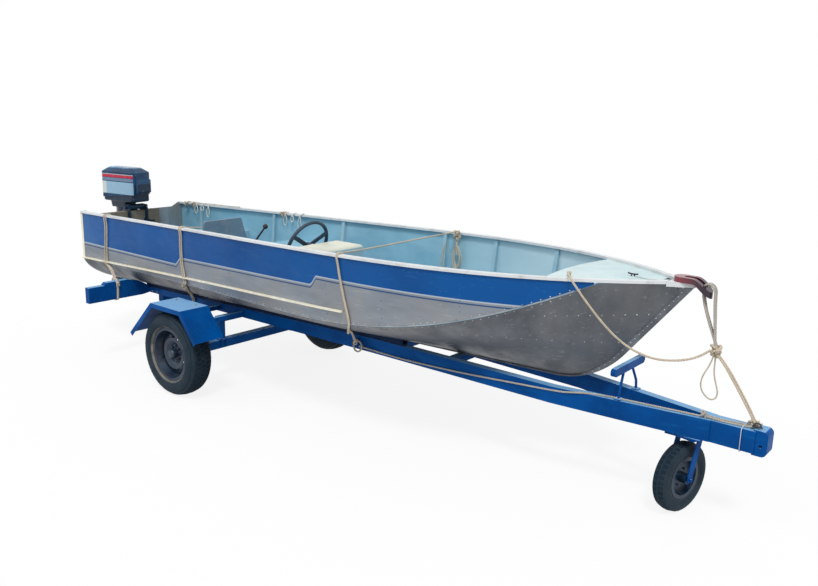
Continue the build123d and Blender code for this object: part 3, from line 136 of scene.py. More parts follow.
class Mat(Tree):
    """One procedural material."""

    def __init__(self, name, rough, metal, spec, coat=0.0):
        self.m = bpy.data.materials.new(name)
        super().__init__(self.m)
        self.b = self.t.nodes["Principled BSDF"]
        base = {"Roughness": rough, "Metallic": metal, "Specular IOR Level": spec, "Coat Weight": coat}
        for key, value in base.items():
            self.b.inputs[key].default_value = value
        coords = self.n("TexCoord")
        self.co = coords.outputs["Object"]
        self.x, self.y, self.z = self.n("SeparateXYZ", self.co).outputs
        self.nx, self.ny, self.nz = self.n("SeparateXYZ", coords.outputs["Normal"]).outputs

    def total(self, *terms):
        """Sum of two sockets, each times its number."""
        return self.math("ADD", *(self.times(socket, number) for socket, number in terms))

    def mix(self, share, a, b):
        """From a to b by share; a colour is a socket or six hex digits."""
        node = self.n("Mix", data_type="RGBA")
        self.put(node.inputs[0], share)
        for index, value in ((6, a), (7, b)):
            self.put(node.inputs[index], rgb(value) if isinstance(value, str) else value)
        return node.outputs[2]

    def over(self, color, tone, share, amount):
        """Part of a share of another tone, laid over a colour."""
        return self.mix(self.times(share, amount), color, tone)

    def noise(self, scale, detail=3.0, rough=0.55, stretch=None):
        where = self.n("Mapping", self.co, (0, 0, 0), (0, 0, 0), stretch).outputs[0] if stretch else self.co
        return self.n("TexNoise", where, None, scale, detail, rough).outputs[0]

    def step(self, value, low, high, out_low=0.0, out_high=1.0):
        return self.n("MapRange", value, low, high, out_low, out_high).outputs[0]

    def between(self, value, low, high, soft=0.0008):
        rise = self.step(value, low - soft, low + soft)
        return self.math("MINIMUM", rise, self.step(value, high - soft, high + soft, 1.0, 0.0))

    def blotches(self, scale, low, high, detail=4.0):
        return self.step(self.noise(scale, detail, 0.6), low, high)

    def ramp(self, value, stops):
        node = self.n("ValToRGB", value)
        elements = node.color_ramp.elements
        while len(elements) < len(stops):
            elements.new(0.5)
        for element, (place, level) in zip(elements, stops):
            element.position = place
            element.color = (level, level, level, 1)
        return node.outputs[0]

    def finish(self, color, height, depth, rough_by=None):
        """Colour, bump (depth in metres), and roughness = (low, high, socket it follows)."""
        self.put(self.b.inputs["Base Color"], color)
        if rough_by:
            low, high, by = rough_by
            self.put(self.b.inputs["Roughness"], self.step(by, 0.3, 0.7, low, high))
        bump = self.n("Bump")
        self.put(bump.inputs["Distance"], depth)
        self.put(bump.inputs["Height"], height)
        self.put(self.b.inputs["Normal"], bump.outputs[0])
        return self.m


def painted(name, colors, rough, spec):
    """Old paint: duller patches, dust over them, and chips."""
    m = Mat(name, rough, 0.0, spec)
    color, dull, dust, *chips = colors.split()
    patches, fine = m.noise(5.0, 4.0), m.noise(120.0, 2.0)
    color = m.mix(m.blotches(2.3, 0.45, 0.75), color, dull)
    color = m.over(color, dust, m.blotches(14.0, 0.5, 0.8), 0.6)
    if chips:
        color = m.mix(m.blotches(45.0, 0.71, 0.73, 5.0), color, chips[0])
    return m.finish(color, m.total((patches, 1), (fine, 0.15)), 0.0012, (rough - 0.08, rough + 0.2, patches))


def sheet_metal(name, colors, rough, metal):
    """Weathered bare metal with streaks that run down and scratches along it."""
    m = Mat(name, rough, metal, 0.4)
    light, dark, stain = colors.split()
    streaks = m.noise(9.0, 5.0, 0.6, (1, 1, 0.18))
    scratches = m.noise(60.0, 3.0, 0.6, (0.12, 1, 1))
    color = m.mix(m.step(streaks, 0.40, 0.70), light, dark)
    color = m.over(color, stain, m.blotches(3.2, 0.5, 0.72), 0.55)
    color = m.over(color, light, m.step(scratches, 0.62, 0.72), 0.35)
    dents = m.total((m.noise(3.5, 2.0), 3.0), (scratches, 0.12))
    return m.finish(color, dents, 0.004, (rough - 0.1, rough + 0.2, streaks))


BAND_STEPS = (  # lower edge of the painted band: x, z
    (-2.513, 0.850), (-1.173, 0.858), (-1.110, 0.914), (0.299, 0.957), (0.347, 1.019), (1.70, 1.040), (2.39, 1.05),
)
BAND_X, BAND_Z = (-2.6, 2.4), (0.8, 1.1)


def share_of(value, low, high):
    return (value - low) / (high - low)


def hull_side_material():
    """Blue band with a pinstripe over bare metal outside, pale paint inside, paler towards the bow with painted
    sunlight.
    """
    m = Mat("hull_side", 0.42, 0.0, 0.2)
    stops = [(share_of(x, *BAND_X), share_of(z, *BAND_Z)) for x, z in BAND_STEPS]
    edge = m.step(m.ramp(m.step(m.x, *BAND_X), stops), 0.0, 1.0, *BAND_Z)
    above = m.math("SUBTRACT", m.z, edge)
    streaks = m.noise(5.0, 5.0, 0.6, (0.35, 1, 1.3))
    scratches = m.noise(70.0, 3.0, 0.6, (0.1, 1, 1))
    scratched = m.step(scratches, 0.6, 0.7)
    bare = m.mix(m.step(streaks, 0.30, 0.74), "989ea6", "7e858e")
    bare = m.over(bare, "9e988e", m.blotches(2.6, 0.45, 0.75), 0.55)
    bare = m.over(bare, "bec2c6", scratched, 0.22)
    paint = m.mix(m.blotches(1.7, 0.4, 0.8), "00549a", "004484")
    paint = m.over(paint, "3e74ae", scratched, 0.22)
    paint = m.mix(m.blotches(55.0, 0.73, 0.75, 5.0), paint, "96a5b9")
    paint = m.over(paint, "467ab0", m.step(m.x, -2.1, -2.55), 0.45)
    color = m.mix(m.between(above, -0.008, 0.0), bare, "b0bcc8")
    color = m.mix(m.between(above, -0.026, -0.018), color, "345480")
    color = m.mix(m.step(above, -0.0008, 0.0008), color, paint)
    outside = m.step(m.times(m.ny, m.y), -0.01, 0.01)
    inner = m.mix(m.blotches(2.2, 0.4, 0.75), "8abace", "70a0b8")
    inner = m.over(inner, "a8ccd8", m.step(streaks, 0.5, 0.7), 0.4)
    # Painted light: the inside turns paler towards the bow, standing in for the sunlit patches under the deck.
    inner = m.mix(m.step(m.x, 0.3, 1.4, 0.0, 0.9), inner, "cee6ec")
    inner = m.mix(m.blotches(60.0, 0.72, 0.74, 5.0), inner, "becdd4")
    m.put(m.b.inputs["Metallic"], m.times(m.times(outside, m.step(above, 0.0, -0.001)), 0.5))
    dents = m.total((m.noise(3.0, 2.0), 3.0), (scratches, 0.1))
    return m.finish(m.mix(outside, inner, color), dents, 0.004, (0.32, 0.55, streaks))


def hull_bottom_material():
    """Bare metal outside, with painted shade low down aft, and pale paint inside."""
    m = Mat("hull_bottom", 0.45, 0.0, 0.35)
    outside = m.step(m.math("SUBTRACT", m.times(m.ny, m.math("SIGN", m.y)), m.nz), -0.05, 0.05)
    streaks = m.noise(7.0, 5.0, 0.6, (1, 1, 0.25))
    scratches = m.noise(55.0, 4.0, 0.65, (0.12, 1, 1))
    color = m.mix(m.step(streaks, 0.30, 0.72), "6e7278", "5c6066")
    color = m.over(color, "8c8880", m.blotches(1.9, 0.40, 0.80), 0.35)
    color = m.over(color, "babcbe", m.step(scratches, 0.6, 0.7), 0.35)
    # Painted shade: the bottom is darker low down and aft of the bow, for its shaded underside.
    low = m.times(m.step(m.z, 0.80, 0.60), m.step(m.x, 2.0, 0.9))
    color = m.over(color, "3a4048", low, 0.55)
    inner = m.mix(m.blotches(3.0, 0.4, 0.7), "80acc0", "648ca0")
    m.put(m.b.inputs["Metallic"], m.times(outside, 0.6))
    dents = m.total((m.noise(2.6, 2.0), 4.0), (scratches, 0.12))
    return m.finish(m.mix(outside, inner, color), dents, 0.005, (0.34, 0.62, streaks))


def cowl_material():
    """Motor cowl: stripes on its sides and front, which are turned with the motor, and a painted highlight in
    patches on its top.
    """
    m = Mat("cowl", 0.3, 0.0, 0.25, coat=0.1)
    c, s = math.cos(MOTOR_TURN), math.sin(MOTOR_TURN)
    aside = m.math("ABSOLUTE", m.total((m.ny, c), (m.nx, -s)))
    along = m.total((m.math("SUBTRACT", m.x, STEER_X), c), (m.y, s))
    side = m.times(m.step(aside, 0.55, 0.62), m.between(along, -0.222, 0.166, 0.002))
    front = m.step(m.total((m.nx, c), (m.ny, s)), 0.7, 0.8)
    rear = m.times(side, m.step(along, -0.150, -0.154))
    color = m.mix(m.blotches(6.0, 0.4, 0.7), "003e64", "002c4e")
    # Painted highlight: pale blue patches on the top of the cowl.
    color = m.mix(m.times(m.step(m.z, 1.418, 1.426), m.blotches(9.0, 0.3, 0.6)), color, "6098be")
    for share, low, high, tone in (
        (side, 1.369, 1.376, "b0b8c4"),
        (side, 1.346, 1.369, "c4223e"),
        (side, 1.316, 1.342, "7086a2"),
        (side, 1.206, 1.309, "96bad0"),
        (front, 1.300, 1.344, "1e4a70"),
        (front, 1.196, 1.296, "002c46"),
        (rear, 1.206, 1.309, "ced8d4"),
    ):
        color = m.over(color, tone, share, m.between(m.z, low, high))
    scuffs = m.blotches(26.0, 0.55, 0.8)
    color = m.over(color, "c8d0d6", scuffs, 0.14)
    return m.finish(color, m.noise(30.0, 2.0), 0.0006, (0.24, 0.4, scuffs))


def rubber_material(name, centre, axis, bead, dusty):
    """Tyre round an axis: dusty rubber, paler where the bead meets the rim."""
    m = Mat(name, 0.85, 0.0, 0.25)
    away = m.n("VectorMath", m.co, centre, operation="SUBTRACT").outputs[0]
    along = m.n("VectorMath", away, axis, operation="DOT_PRODUCT").outputs["Value"]
    whole = m.n("VectorMath", away, operation="LENGTH").outputs["Value"]
    radius = m.math("SQRT", m.math("SUBTRACT", m.times(whole, whole), m.times(along, along)))
    dust = m.times(m.blotches(9.0, 0.35, 0.75), 0.5)
    color = m.mix(m.noise(30.0, 4.0), "0c1e2a", "1a2e3c")
    color = m.over(color, "404c56", dust, 0.8)
    worn = m.times(m.between(radius, bead, bead + 0.016, 0.003), m.blotches(7.0, 0.3, 0.6))
    color = m.over(color, "a49a8c", worn, dusty)
    rings = m.math("SINE", m.times(radius, 900.0))
    return m.finish(color, m.total((rings, 0.3), (m.noise(160.0, 3.0), 1)), 0.0009, (0.75, 0.95, dust))


def rim_material(name, base):
    m = Mat(name, 0.5, 0.35, 0.45)
    dust = m.times(m.blotches(7.0, 0.4, 0.7), 0.45)
    color = m.mix(m.noise(12.0), base, "18222c")
    color = m.mix(dust, color, "606060")
    color = m.over(color, "624230", m.blotches(22.0, 0.6, 0.74, 5.0), 0.7)
    return m.finish(color, m.noise(60.0, 4.0), 0.0012, (0.4, 0.65, dust))


def rope_material(name, light, dark):
    m = Mat(name, 0.9, 0.0, 0.1)
    fibres = m.noise(900.0, 2.0)
    color = m.mix(m.step(fibres, 0.35, 0.65), light, dark)
    color = m.over(color, "a69682", m.blotches(14.0, 0.45, 0.75), 0.4)
    m.b.inputs["Sheen Weight"].default_value = 0.2
    return m.finish(color, fibres, 0.0006)


def handle_material():
    m = Mat("handle_paint", 0.2, 0.0, 0.6)
    scuffs = m.blotches(30.0, 0.5, 0.75)
    color = m.mix(m.step(m.x, 2.34, 2.46), "842e3c", "220c24")
    color = m.over(color, "682838", scuffs, 0.3)
    return m.finish(color, m.noise(60.0, 3.0), 0.0006, (0.16, 0.35, scuffs))


def trailer_material():
    """Blue paint with brush marks, paler in patches on faces that look up, and specks of rust."""
    m = Mat("trailer_paint", 0.5, 0.0, 0.08)
    patches, fine = m.noise(4.0, 4.0), m.noise(90.0, 3.0)
    color = m.mix(m.step(patches, 0.35, 0.7), "00529c", "003e7c")
    brushed = m.noise(40.0, 3.0, 0.6, (0.1, 1, 1))
    color = m.over(color, "1068a8", m.step(brushed, 0.55, 0.72), 0.3)
    # Paler in patches on faces that look up.
    paler_on_top = m.times(m.step(m.nz, 0.9, 0.97), m.blotches(6.0, 0.0, 0.4))
    color = m.over(color, "84b4dc", paler_on_top, 0.9)
    color = m.over(color, "683e2a", m.blotches(38.0, 0.715, 0.74, 6.0), 0.8)
    return m.finish(color, m.total((patches, 1), (fine, 0.25)), 0.0012, (0.34, 0.6, patches))


def console_material():
    m = Mat("console", 0.5, 0.0, 0.35)
    color = m.mix(m.step(m.nz, 0.35, 0.5), "96b8c4", "dedecc")
    grime = m.times(m.blotches(6.0, 0.45, 0.75), 0.4)
    return m.finish(m.mix(grime, color, "a8aca0"), m.noise(200.0, 2.0), 0.0004, (0.42, 0.62, grime))


PAINTS = {  # name, colour with its dull patches, dust and chips, roughness, specular
    "white": ("gunwale_paint", "e2e4e4 c6cacc b4b2aa 96989a", 0.4, 0.4),
    "inside": ("inside_paint", "8ebcce 74a4ba a0b0b0 b0bec4", 0.55, 0.3),
    "deck": ("deck_paint", "d4e4e4 bed6da c4c8be 96a0a0", 0.55, 0.3),
    "rib": ("rib_paint", "9ec4d2 84aec0 b4b8b2 8c969a", 0.5, 0.3),
    "seat": ("seat_back_paint", "708698 5a7084 969c9e b4bec4", 0.5, 0.3),
    "black": ("black_plastic", "18191c 28292c 464442", 0.45, 0.4),
    "navy": ("motor_paint", "022640 00182c 284258 788086", 0.4, 0.45),
    "board": ("pad_board", "807668 625a50 968e80 544a3e", 0.7, 0.2),
    "wire": ("white_wire", "e0e2e2 bec0c2 a09e98", 0.4, 0.4),
    "bearer": ("bearer_rubber", "0a2242 061830 283a54", 0.7, 0.2),
    "lug": ("tread_rubber", "142632 0e1c28 38424a", 0.85, 0.2),
    # Painted shade: flat dark patches that stand in for the shadowed openings of the rim's slots.
    "hole": ("rim_slot_painted_shade", "080c10 06080c 141618", 0.8, 0.1),
    "band_rivet": ("band_rivet_paint", "1460a0 064c88 6e8caa", 0.4, 0.3),
    "wheel": ("wheel_plastic", "304254 223242 606c76", 0.45, 0.4),
}
METALS = {  # name, light, dark and stain, roughness, metallic
    "sheet": ("sheet_metal", "b0b4b8 80848a aaa08e", 0.42, 0.55),
    "rail_metal": ("spray_rail_metal", "faf4de e0d8c4 f6e4b6", 0.3, 0.2),
    "steel": ("steel", "a4a4a4 707070 846e58", 0.4, 0.75),
    "dark_steel": ("dark_steel", "56585c 34363a 625040", 0.5, 0.6),
    "rivet": ("rivet_metal", "c4c4c2 787a7e 605446", 0.4, 0.6),
    "flange": ("flange_metal", "787c82 54585e 80786c", 0.5, 0.5),
    "bolt": ("bolt_zinc", "c4c2bc 82807c 96785a", 0.35, 0.8),
}
M = {
    "side": hull_side_material(), "bottom": hull_bottom_material(), "console": console_material(),
    "maroon": handle_material(), "trailer": trailer_material(), "cowl": cowl_material(),
    "rim": rim_material("rim_steel", "083658"), "hub": rim_material("hub_steel", "224662"),
    "rope": rope_material("rope", "e6d8c2", "b8a890"),
    "old_rope": rope_material("grey_rope", "cec8bc", "a29a90"),
    "wire_rope": rope_material("pale_rope", "eceae4", "c8c6c0"),
}
M.update((look, painted(*row)) for look, row in PAINTS.items())
M.update((look, sheet_metal(*row)) for look, row in METALS.items())
SLOTS = {
    "hull_aluminium": "sheet", "trim_white": "white", "inside_paint": "inside", "console_moulding": "console",
    "black_plastic": "black", "handle_plastic": "maroon", "galvanised": "steel", "board_wood": "board",
    "motor_cowl_paint": "cowl", "motor_metal": "navy", "propeller_metal": "steel", "trailer_blue": "trailer",
    "rubber_tyre": "black", "rim_paint": "rim", "rope": "rope",
}
NODE_LOOKS = {
    "hull_side_port": "side", "hull_side_starboard": "side", "hull_bottom_port": "bottom",
    "hull_bottom_starboard": "bottom", "spray_rails": "rail_metal", "side_ribs": "rib", "bow_deck": "deck",
    "helm_seat_back": "seat", "motor_lower_cowl": "navy", "keel_bar": "flange", "helm_wheel": "wheel",
}


def middle_of(node):
    low, high = (Vector(v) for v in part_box(node))
    return (low + high) / 2


def dress():
    """Give each carried node its look."""
    for row in frame["record"]["subparts"]:
        node = row["node"]
        look = M[NODE_LOOKS.get(node, SLOTS[row["material_slot"]])]
        if "tyre" in node:
            kind = (tuple(CASTOR_AXIS), 0.106, 0.1) if node == "castor_tyre" else ((0, 1, 0), 0.184, 0.75)
            look = rubber_material(node, tuple(middle_of(node)), *kind)
        materials = nodes[node].data.materials
        materials.clear()
        materials.append(look)


# ---- mesh helpers
TREES = {}


def surface(node, origin, direction):
    """Point and normal where a line first meets a carried node, or None."""
    if node not in TREES:
        me = nodes[node].data
        TREES[node] = BVHTree.FromPolygons([v.co for v in me.vertices], [list(p.vertices) for p in me.polygons])
    point, normal, _, _ = TREES[node].ray_cast(Vector(origin), Vector(direction))
    return (point, normal) if point is not None else None


def beside(node, s, x, z):
    """What a line from port (s = 1) or starboard (s = -1) first meets."""
    return surface(node, (x, 2 * s, z), (0, -s, 0))


def above(node, x, y):
    return surface(node, (x, y, 2), DOWN)


def under(node, x, y):
    return surface(node, (x, y, 0.2), UP)


def moved(point, x, y, z):
    return Vector(point) + Vector((x, y, z))


def piece(name, form, look, body=BOAT, smooth=True, stands_for=()):
    """Piece of the scene from its form, which is (points, faces)."""
    me = bpy.data.meshes.new(name)
    me.from_pydata([tuple(v) for v in form[0]], [], form[1])
    me.materials.append(M[look])
    for polygon in me.polygons:
        polygon.use_smooth = smooth
    me.update()
    made = bpy.data.objects.new(name, me)
    scene.collection.objects.link(made)
    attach(made, body)
    if stands_for:
        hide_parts(*stands_for)
    return made


def circle(centre, u, v, radius, count):
    """Points round a centre, in the plane of u and v."""
    angles = (2 * math.pi * j / count for j in range(count))
    return [centre + radius * (math.cos(a) * u + math.sin(a) * v) for a in angles]


def add_rings(form, rings, start=False, end=False):
    """Skin through rings of points, with a face over either end."""
    verts, faces = form
    first, sides = len(verts), len(rings[0])
    for ring in rings:
        verts.extend(ring)
    for k in range(len(rings) - 1):
        for j in range(sides):
            a, b = first + k * sides + j, first + k * sides + (j + 1) % sides
            faces.append((a, b, b + sides, a + sides))
    if start:
        faces.append(tuple(first + j for j in reversed(range(sides))))
    if end:
        faces.append(tuple(len(verts) - sides + j for j in range(sides)))


def frames(points):
    """Points with a normal and binormal that turn as little as they can."""
    points = [Vector(p) for p in points]
    last = len(points) - 1
    tangents = [(points[min(i + 1, last)] - points[max(i - 1, 0)]).normalized() for i in range(last + 1)]
    side = tangents[0].orthogonal().normalized()
    out = []
    for point, tangent in zip(points, tangents):
        side = (side - tangent * side.dot(tangent)).normalized()
        out.append((point, side, tangent.cross(side)))
    return out


def add_tube(form, points, radius, sides=8, taper=1.0):
    """Closed tube along points, that ends at taper times its radius."""
    rows = frames(points)
    last = len(rows) - 1
    radii = (radius * (1 + (taper - 1) * k / last) for k in range(last + 1))
    add_rings(form, [circle(*row, r, sides) for row, r in zip(rows, radii)], True, True)


def lathe(form, centre, axis, profile, sides=40):
    """Turned form: profile is (distance along the axis, radius)."""
    axis = Vector(axis)
    u = axis.orthogonal().normalized()
    rings = [circle(Vector(centre) + axis * along, u, axis.cross(u), radius, sides) for along, radius in profile]
    add_rings(form, rings, end=True)


def add_rivet(form, point, normal, radius=0.0042, height=0.0022, sides=8):
    verts, faces = form
    u = normal.orthogonal().normalized()
    v = normal.cross(u)
    dome = ((1.0, -0.0006), (0.85, 0.55), (0.45, 0.9))  # shares of the radius and the height
    add_rings(form, [circle(point + height * h * normal, u, v, radius * r, sides) for r, h in dome])
    tip, rim = len(verts), len(verts) - sides
    verts.append(point + height * normal)
    faces += [(rim + j, rim + (j + 1) % sides, tip) for j in range(sides)]


def ribbon(name, rows, look, thick):
    """Strip on the hull through rows of (point, normal), each row across it."""
    verts, faces, width = [], [], len(rows[0])
    for row in rows:
        verts += [point + thick * normal for point, normal in row]
        verts += [point - 0.001 * normal for point, normal in row]
    for k in range(len(rows) - 1):
        a, b, edge = k * 2 * width, (k + 1) * 2 * width, width - 1
        faces += [(a + j, a + j + 1, b + j + 1, b + j) for j in range(edge)]
        faces += [(a, b, b + width, a + width), (a + edge, a + edge + width, b + edge + width, b + edge)]
    piece(name, (verts, faces), look, smooth=False)


# ---- ropes and knots
def add_strands(form, points, radius, sides=6):
    """Laid rope: three strands wound round the line of points."""
    rows, along = frames(points), 0.0
    lines = [[], [], []]
    for k, (point, u, v) in enumerate(rows):
        if k:
            along += (point - rows[k - 1][0]).length
        for i, line in enumerate(lines):
            angle = 2 * math.pi * (along / (radius * 7) + i / 3)
            line.append(point + radius * 0.5 * (math.cos(angle) * u + math.sin(angle) * v))
    for line in lines:
        add_tube(form, line, radius * 0.54, sides)


def resample(line, step):
    """Points a step apart along a line."""
    lengths = [0.0]
    for a, b in zip(line, line[1:]):
        lengths.append(lengths[-1] + (b - a).length)
    count = max(2, round(lengths[-1] / step) + 1)
    out, k = [], 0
    for i in range(count):
        want = lengths[-1] * i / (count - 1)
        while k < len(line) - 2 and lengths[k + 1] < want:
            k += 1
        span = lengths[k + 1] - lengths[k]
        out.append(line[k].lerp(line[k + 1], (want - lengths[k]) / span if span else 0))
    return out


def curve_points(route, step):
    """Evenly spaced points on the route's NURBS spline."""
    data = bpy.data.curves.new("line", "CURVE")
    data.dimensions = "3D"
    spline = data.splines.new("NURBS")
    spline.points.add(len(route) - 1)
    for control, place in zip(spline.points, route):
        control.co = (*place, 1)
    spline.order_u = 3
    spline.use_endpoint_u = True
    spline.resolution_u = 16
    made = bpy.data.objects.new("line", data)
    scene.collection.objects.link(made)
    me = bpy.data.meshes.new_from_object(made)
    line = [v.co.copy() for v in me.vertices]
    bpy.data.objects.remove(made)
    bpy.data.meshes.remove(me)
    return resample(line, step)


def rope_piece(name, line, radius, look="rope", stands_for=(), sides=6):
    form = [], []
    add_strands(form, line, radius, sides)
    return piece(name, form, look, stands_for=stands_for)


def rope(name, route, radius=ROPE, look="rope", step=0.006, stands_for=()):
    return rope_piece(name, curve_points(route, step), radius, look, stands_for)


def knot(name, centre, size, radius, look="rope", stands_for=(), tilt=0.0):
    """Rope along a closed trefoil, for the turns of a knot."""
    c, s = math.cos(tilt), math.sin(tilt)
    line = []
    for i in range(61):
        a = 2 * math.pi * i / 60
        x, y, z = math.sin(a) + 2 * math.sin(2 * a), math.cos(a) - 2 * math.cos(2 * a), -1.6 * math.sin(3 * a)
        line.append(Vector(centre) + size / 3 * Vector((x * c + z * s, z * c - x * s, y)))
    return rope_piece(name, line, radius, look, stands_for, sides=5)


def mm(*points):
    return [tuple(v / 1000 for v in point) for point in points]


KNOT = mm((2553, 0, 896))[0]
PAINTER = mm(
    (2530.2, -12.5, 892), (2491, -35, 854), (2410, -80, 825), (2300, -141, 822), (2204, -197, 864),
    (2127, -246, 930), (2056, -292, 1018), (1995, -338, 1112), (1945, -368, 1190), (1908, -362, 1231),
    (1885, -318, 1235), (1868, -278, 1222), (1856, -254, 1210), (1842, -228, 1197),
)
TAIL = mm(
    (2548, -4, 870), (2541, -11, 834), (2530, -20, 800), (2514, -33, 762), (2508, -38, 718),
    (2517, -31, 680), (2536, -15, 650), (2556, 1, 634), (2575, 15, 643), (2580, 20, 672),
    (2571, 14, 709), (2561, 6, 748), (2555, 2, 788), (2555, 3, 829), (2554, 1, 870),
)
DROP = mm(
    (453, 555, 1097), (447, 552, 1066), (440, 549, 1030), (437, 547, 985), (431, 548, 940), (429, 546, 896),
    (425, 547, 858),
)
HANK_TURNS, HANK_X, HANK_Z = 4, 0.553, 1.0


def hank_route():
    """Spare rope hung in loose turns below the knot on the port gunwale."""
    low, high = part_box("rope_hank")
    y = (low[1] + high[1]) / 2
    route = [(HANK_X - 0.008, y + 0.001, 1.150), (HANK_X - 0.004, y - 0.006, 1.115)]
    for i in range(1, HANK_TURNS * 12 + 1):
        turn, angle = i / 12, 2 * math.pi * i / 12
        wide = 0.027 + 0.007 * math.sin(2.1 * turn + 0.5)
        tall = 0.074 + 0.007 * math.sin(1.7 * turn)
        z = HANK_Z + tall * math.cos(angle) + 0.012 * math.sin(turn)
        route.append((HANK_X + wide * math.sin(angle), y - 0.0128 + 0.0085 * turn * 3 / HANK_TURNS, z))
    return route


def free_ropes():
    """The ropes that hang free: each is a cord and stands for a carried node."""
    for name, node, route, step, radius, end, lay, sides in (
        ("painter_rope", "painter", PAINTER, 0.0048, 0.006, "knot", "hanging", 6),
        ("tail_rope", "rope_tail", TAIL, 0.0032, 0.004, "object", "hanging", 6),
        ("drop_rope", "rope_drop", DROP, 0.004, 0.005, "knot", "hanging", 6),
        ("hank_rope", "rope_hank", hank_route(), 0.004, 0.004, "object", "coiled", 5),
    ):
        line = curve_points(route, step)
        made = rope_piece(name, line, radius, stands_for=(node,), sides=sides)
        knots = []
        if name == "painter_rope":
            place = middle_of("painter_knot")
            knots = [knot("painter_end_knot", place, 0.011, 0.0045, stands_for=("painter_knot",))]
        elif end == "knot":
            knots = [knot("drop_end_knot", line[-1], 0.009, 0.004)]


free_ropes()
dress()


# ---- hull details
def side_hit(side, x, z, near=("gunwale", "hull_side", "hull_bottom", "spray_rails")):
    """Outermost surface of the hull at x and z on one side, with its normal."""
    s, best = SIDES[side], None
    for kind in near:
        found = beside(kind if kind in nodes else f"{kind}_{side}", s, x, z)
        if found and (best is None or found[0].y * s > best[0].y * s):
            best = found
    return best


def side_edge(side, x, node, z_in, z_out):
    """Height at which the node's side ends, between a height on it and one off it."""
    for _ in range(14):
        middle = (z_in + z_out) / 2
        if beside(f"{node}_{side}", SIDES[side], x, middle):
            z_in = middle
        else:
            z_out = middle
    return z_in


def seam_height(side, x):
    """Height of the seam between the side and the bottom."""
    return side_edge(side, x, "hull_side", 1.06 if x < 1.6 else 1.14, 0.6)


def rivet_rows():
    """Rivets along the seam, the gunwale, the ribs and the bow's bottom panels."""
    bare, band = ([], []), ([], [])

    def add(target, side, x, z, kind, *size):
        found = side_hit(side, x, z, (kind,))
        if found:
            add_rivet(target, *found, *size)

    for side in SIDES:
        for i in range(103):
            x = -2.49 + 0.0435 * i
            seam = seam_height(side, x)
            add(bare, side, x, seam + 0.012, "hull_side")
            add(bare, side, x, seam - 0.013, "hull_bottom")
        for i in range(47):
            x = -2.46 + 0.087 * i
            add(band, side, x, side_edge(side, x, "hull_side", 1.06, 1.4) - 0.022, "hull_side", 0.0034, 0.0018)
        for share in RIB_SHARES:
            x = TRANSOM_X + share * HULL_LENGTH
            seam, top = seam_height(side, x), side_edge(side, x, "hull_side", 1.06, 1.4)
            for k in range(6):
                add(band, side, x, seam + 0.05 + (top - seam - 0.11) * k / 5, "hull_side", 0.0034, 0.0016)
        for z, first, last in ((0.80, 1.30, 2.14), (0.98, 1.72, 2.26)):
            for i in range(12):
                add(bare, side, first + (last - first) * i / 11, z + 0.004 * i, "hull_bottom")
    piece("band_rivets", band, "band_rivet")
    piece("hull_rivets", bare, "rivet")


def stem_flanges():
    """Riveted flange down each side of the stem, and the turned edge on the seams."""
    rivets, top, foot, count = ([], []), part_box("bow_cap")[0][2] - 0.004, 0.60, 46
    for side, s in SIDES.items():
        panel, rows = f"hull_bottom_{side}", []
        for i in range(count):
            z = top - (top - foot) * i / (count - 1)
            head = surface("keel_bar", (3, 0, z), (-1, 0, 0))[0].x
            starts = (head - 0.034 - 0.004 * k for k in range(30))
            start = next((x for x in starts if surface(panel, (x, s, z), (0, -s, 0))), None)
            if start is None:
                continue
            row = [surface(panel, (start - more, s, z), (0, -s, 0)) for more in (0.001, 0.007)]
            if all(row):
                rows.append([(Vector((head - 0.004, s * 0.0082, z)), row[0][1])] + row)
        ribbon(f"stem_flange_{side}", rows, "flange", 0.0016)
        for (front, normal), _, (back, _) in rows[::2]:
            add_rivet(rivets, front.lerp(back, 0.62) + 0.0016 * normal, normal, 0.0046, 0.0024)
        rows = []
        for i in range(120):
            x = -2.50 + i * 4.50 / 119
            seam = seam_height(side, x)
            row = [side_hit(side, x, seam + up, ("hull_side",)) for up in (0.0005, 0.006)]
            if all(row):
                rows.append(row)
        ribbon(f"seam_edge_{side}", rows, "sheet", 0.0026)
    piece("stem_rivets", rivets, "rivet")


def transom_corners():
    """Folded strips up the corners of the transom."""
    verts, faces = [], []
    for side, s in SIDES.items():
        heights = [0.72 + 0.36 * i / 11 for i in range(12)]
        hits = [beside(f"hull_side_{side}", s, -2.504, z) for z in heights]
        line = [Vector((-2.510, y + s * 0.001, z)) for z, y in zip(heights, (hit[0].y for hit in hits if hit))]
        first = len(verts)
        for p in line:
            verts += [p + Vector((dx, s * dy, 0)) for dx, dy in (
                (-0.007, 0.0022), (0.024, 0.0022), (-0.007, -0.022), (0.024, -0.001))]
        for k in range(len(line) - 1):
            a, b = first + 4 * k, first + 4 * (k + 1)
            faces += [(a, a + 1, b + 1, b), (a, b, b + 2, a + 2), (a + 1, a + 3, b + 3, b + 1)]
    piece("transom_corners", (verts, faces), "rail_metal", smooth=False)


# ---- lashings
def on_side(x, z, off=ROPE):
    """Place off the starboard side."""
    return (x, side_hit("starboard", x, z)[0].y - off, z)


def on_top(node, x, y, off):
    return (x, y, above(node, x, y)[0].z + off)


def below_hull(x, y, off):
    return (x, y, under("hull_bottom_starboard", x, y)[0].z - off)


def over_gunwale(x, r=ROPE, side="starboard"):
    """Points of a rope that comes up inside the gunwale and goes over it."""
    s, node, width = SIDES[side], f"gunwale_{side}", 0.04
    heights = (1.28 - 0.0015 * i for i in range(140))
    inside = next((z - 0.002 for z in heights if beside(node, s, x, z)), 1.1)
    top = side_edge(side, x, "gunwale", inside, 2.0)
    out = beside(node, s, x, top - 0.004)[0].y
    return [
        (x, out - s * (width + r), top - 0.05),
        (x, out - s * (width + r), top - 0.004),
        (x, out - s * (width - 0.004), top + r),
        (x, out - s * 0.004, top + r),
        (x, out + s * r, top - 0.004),
    ]


def down_side(x, r, places):
    """Points over the gunwale and down the starboard side."""
    return over_gunwale(x, r) + [on_side(x + dx, z, r) for dx, z in places]


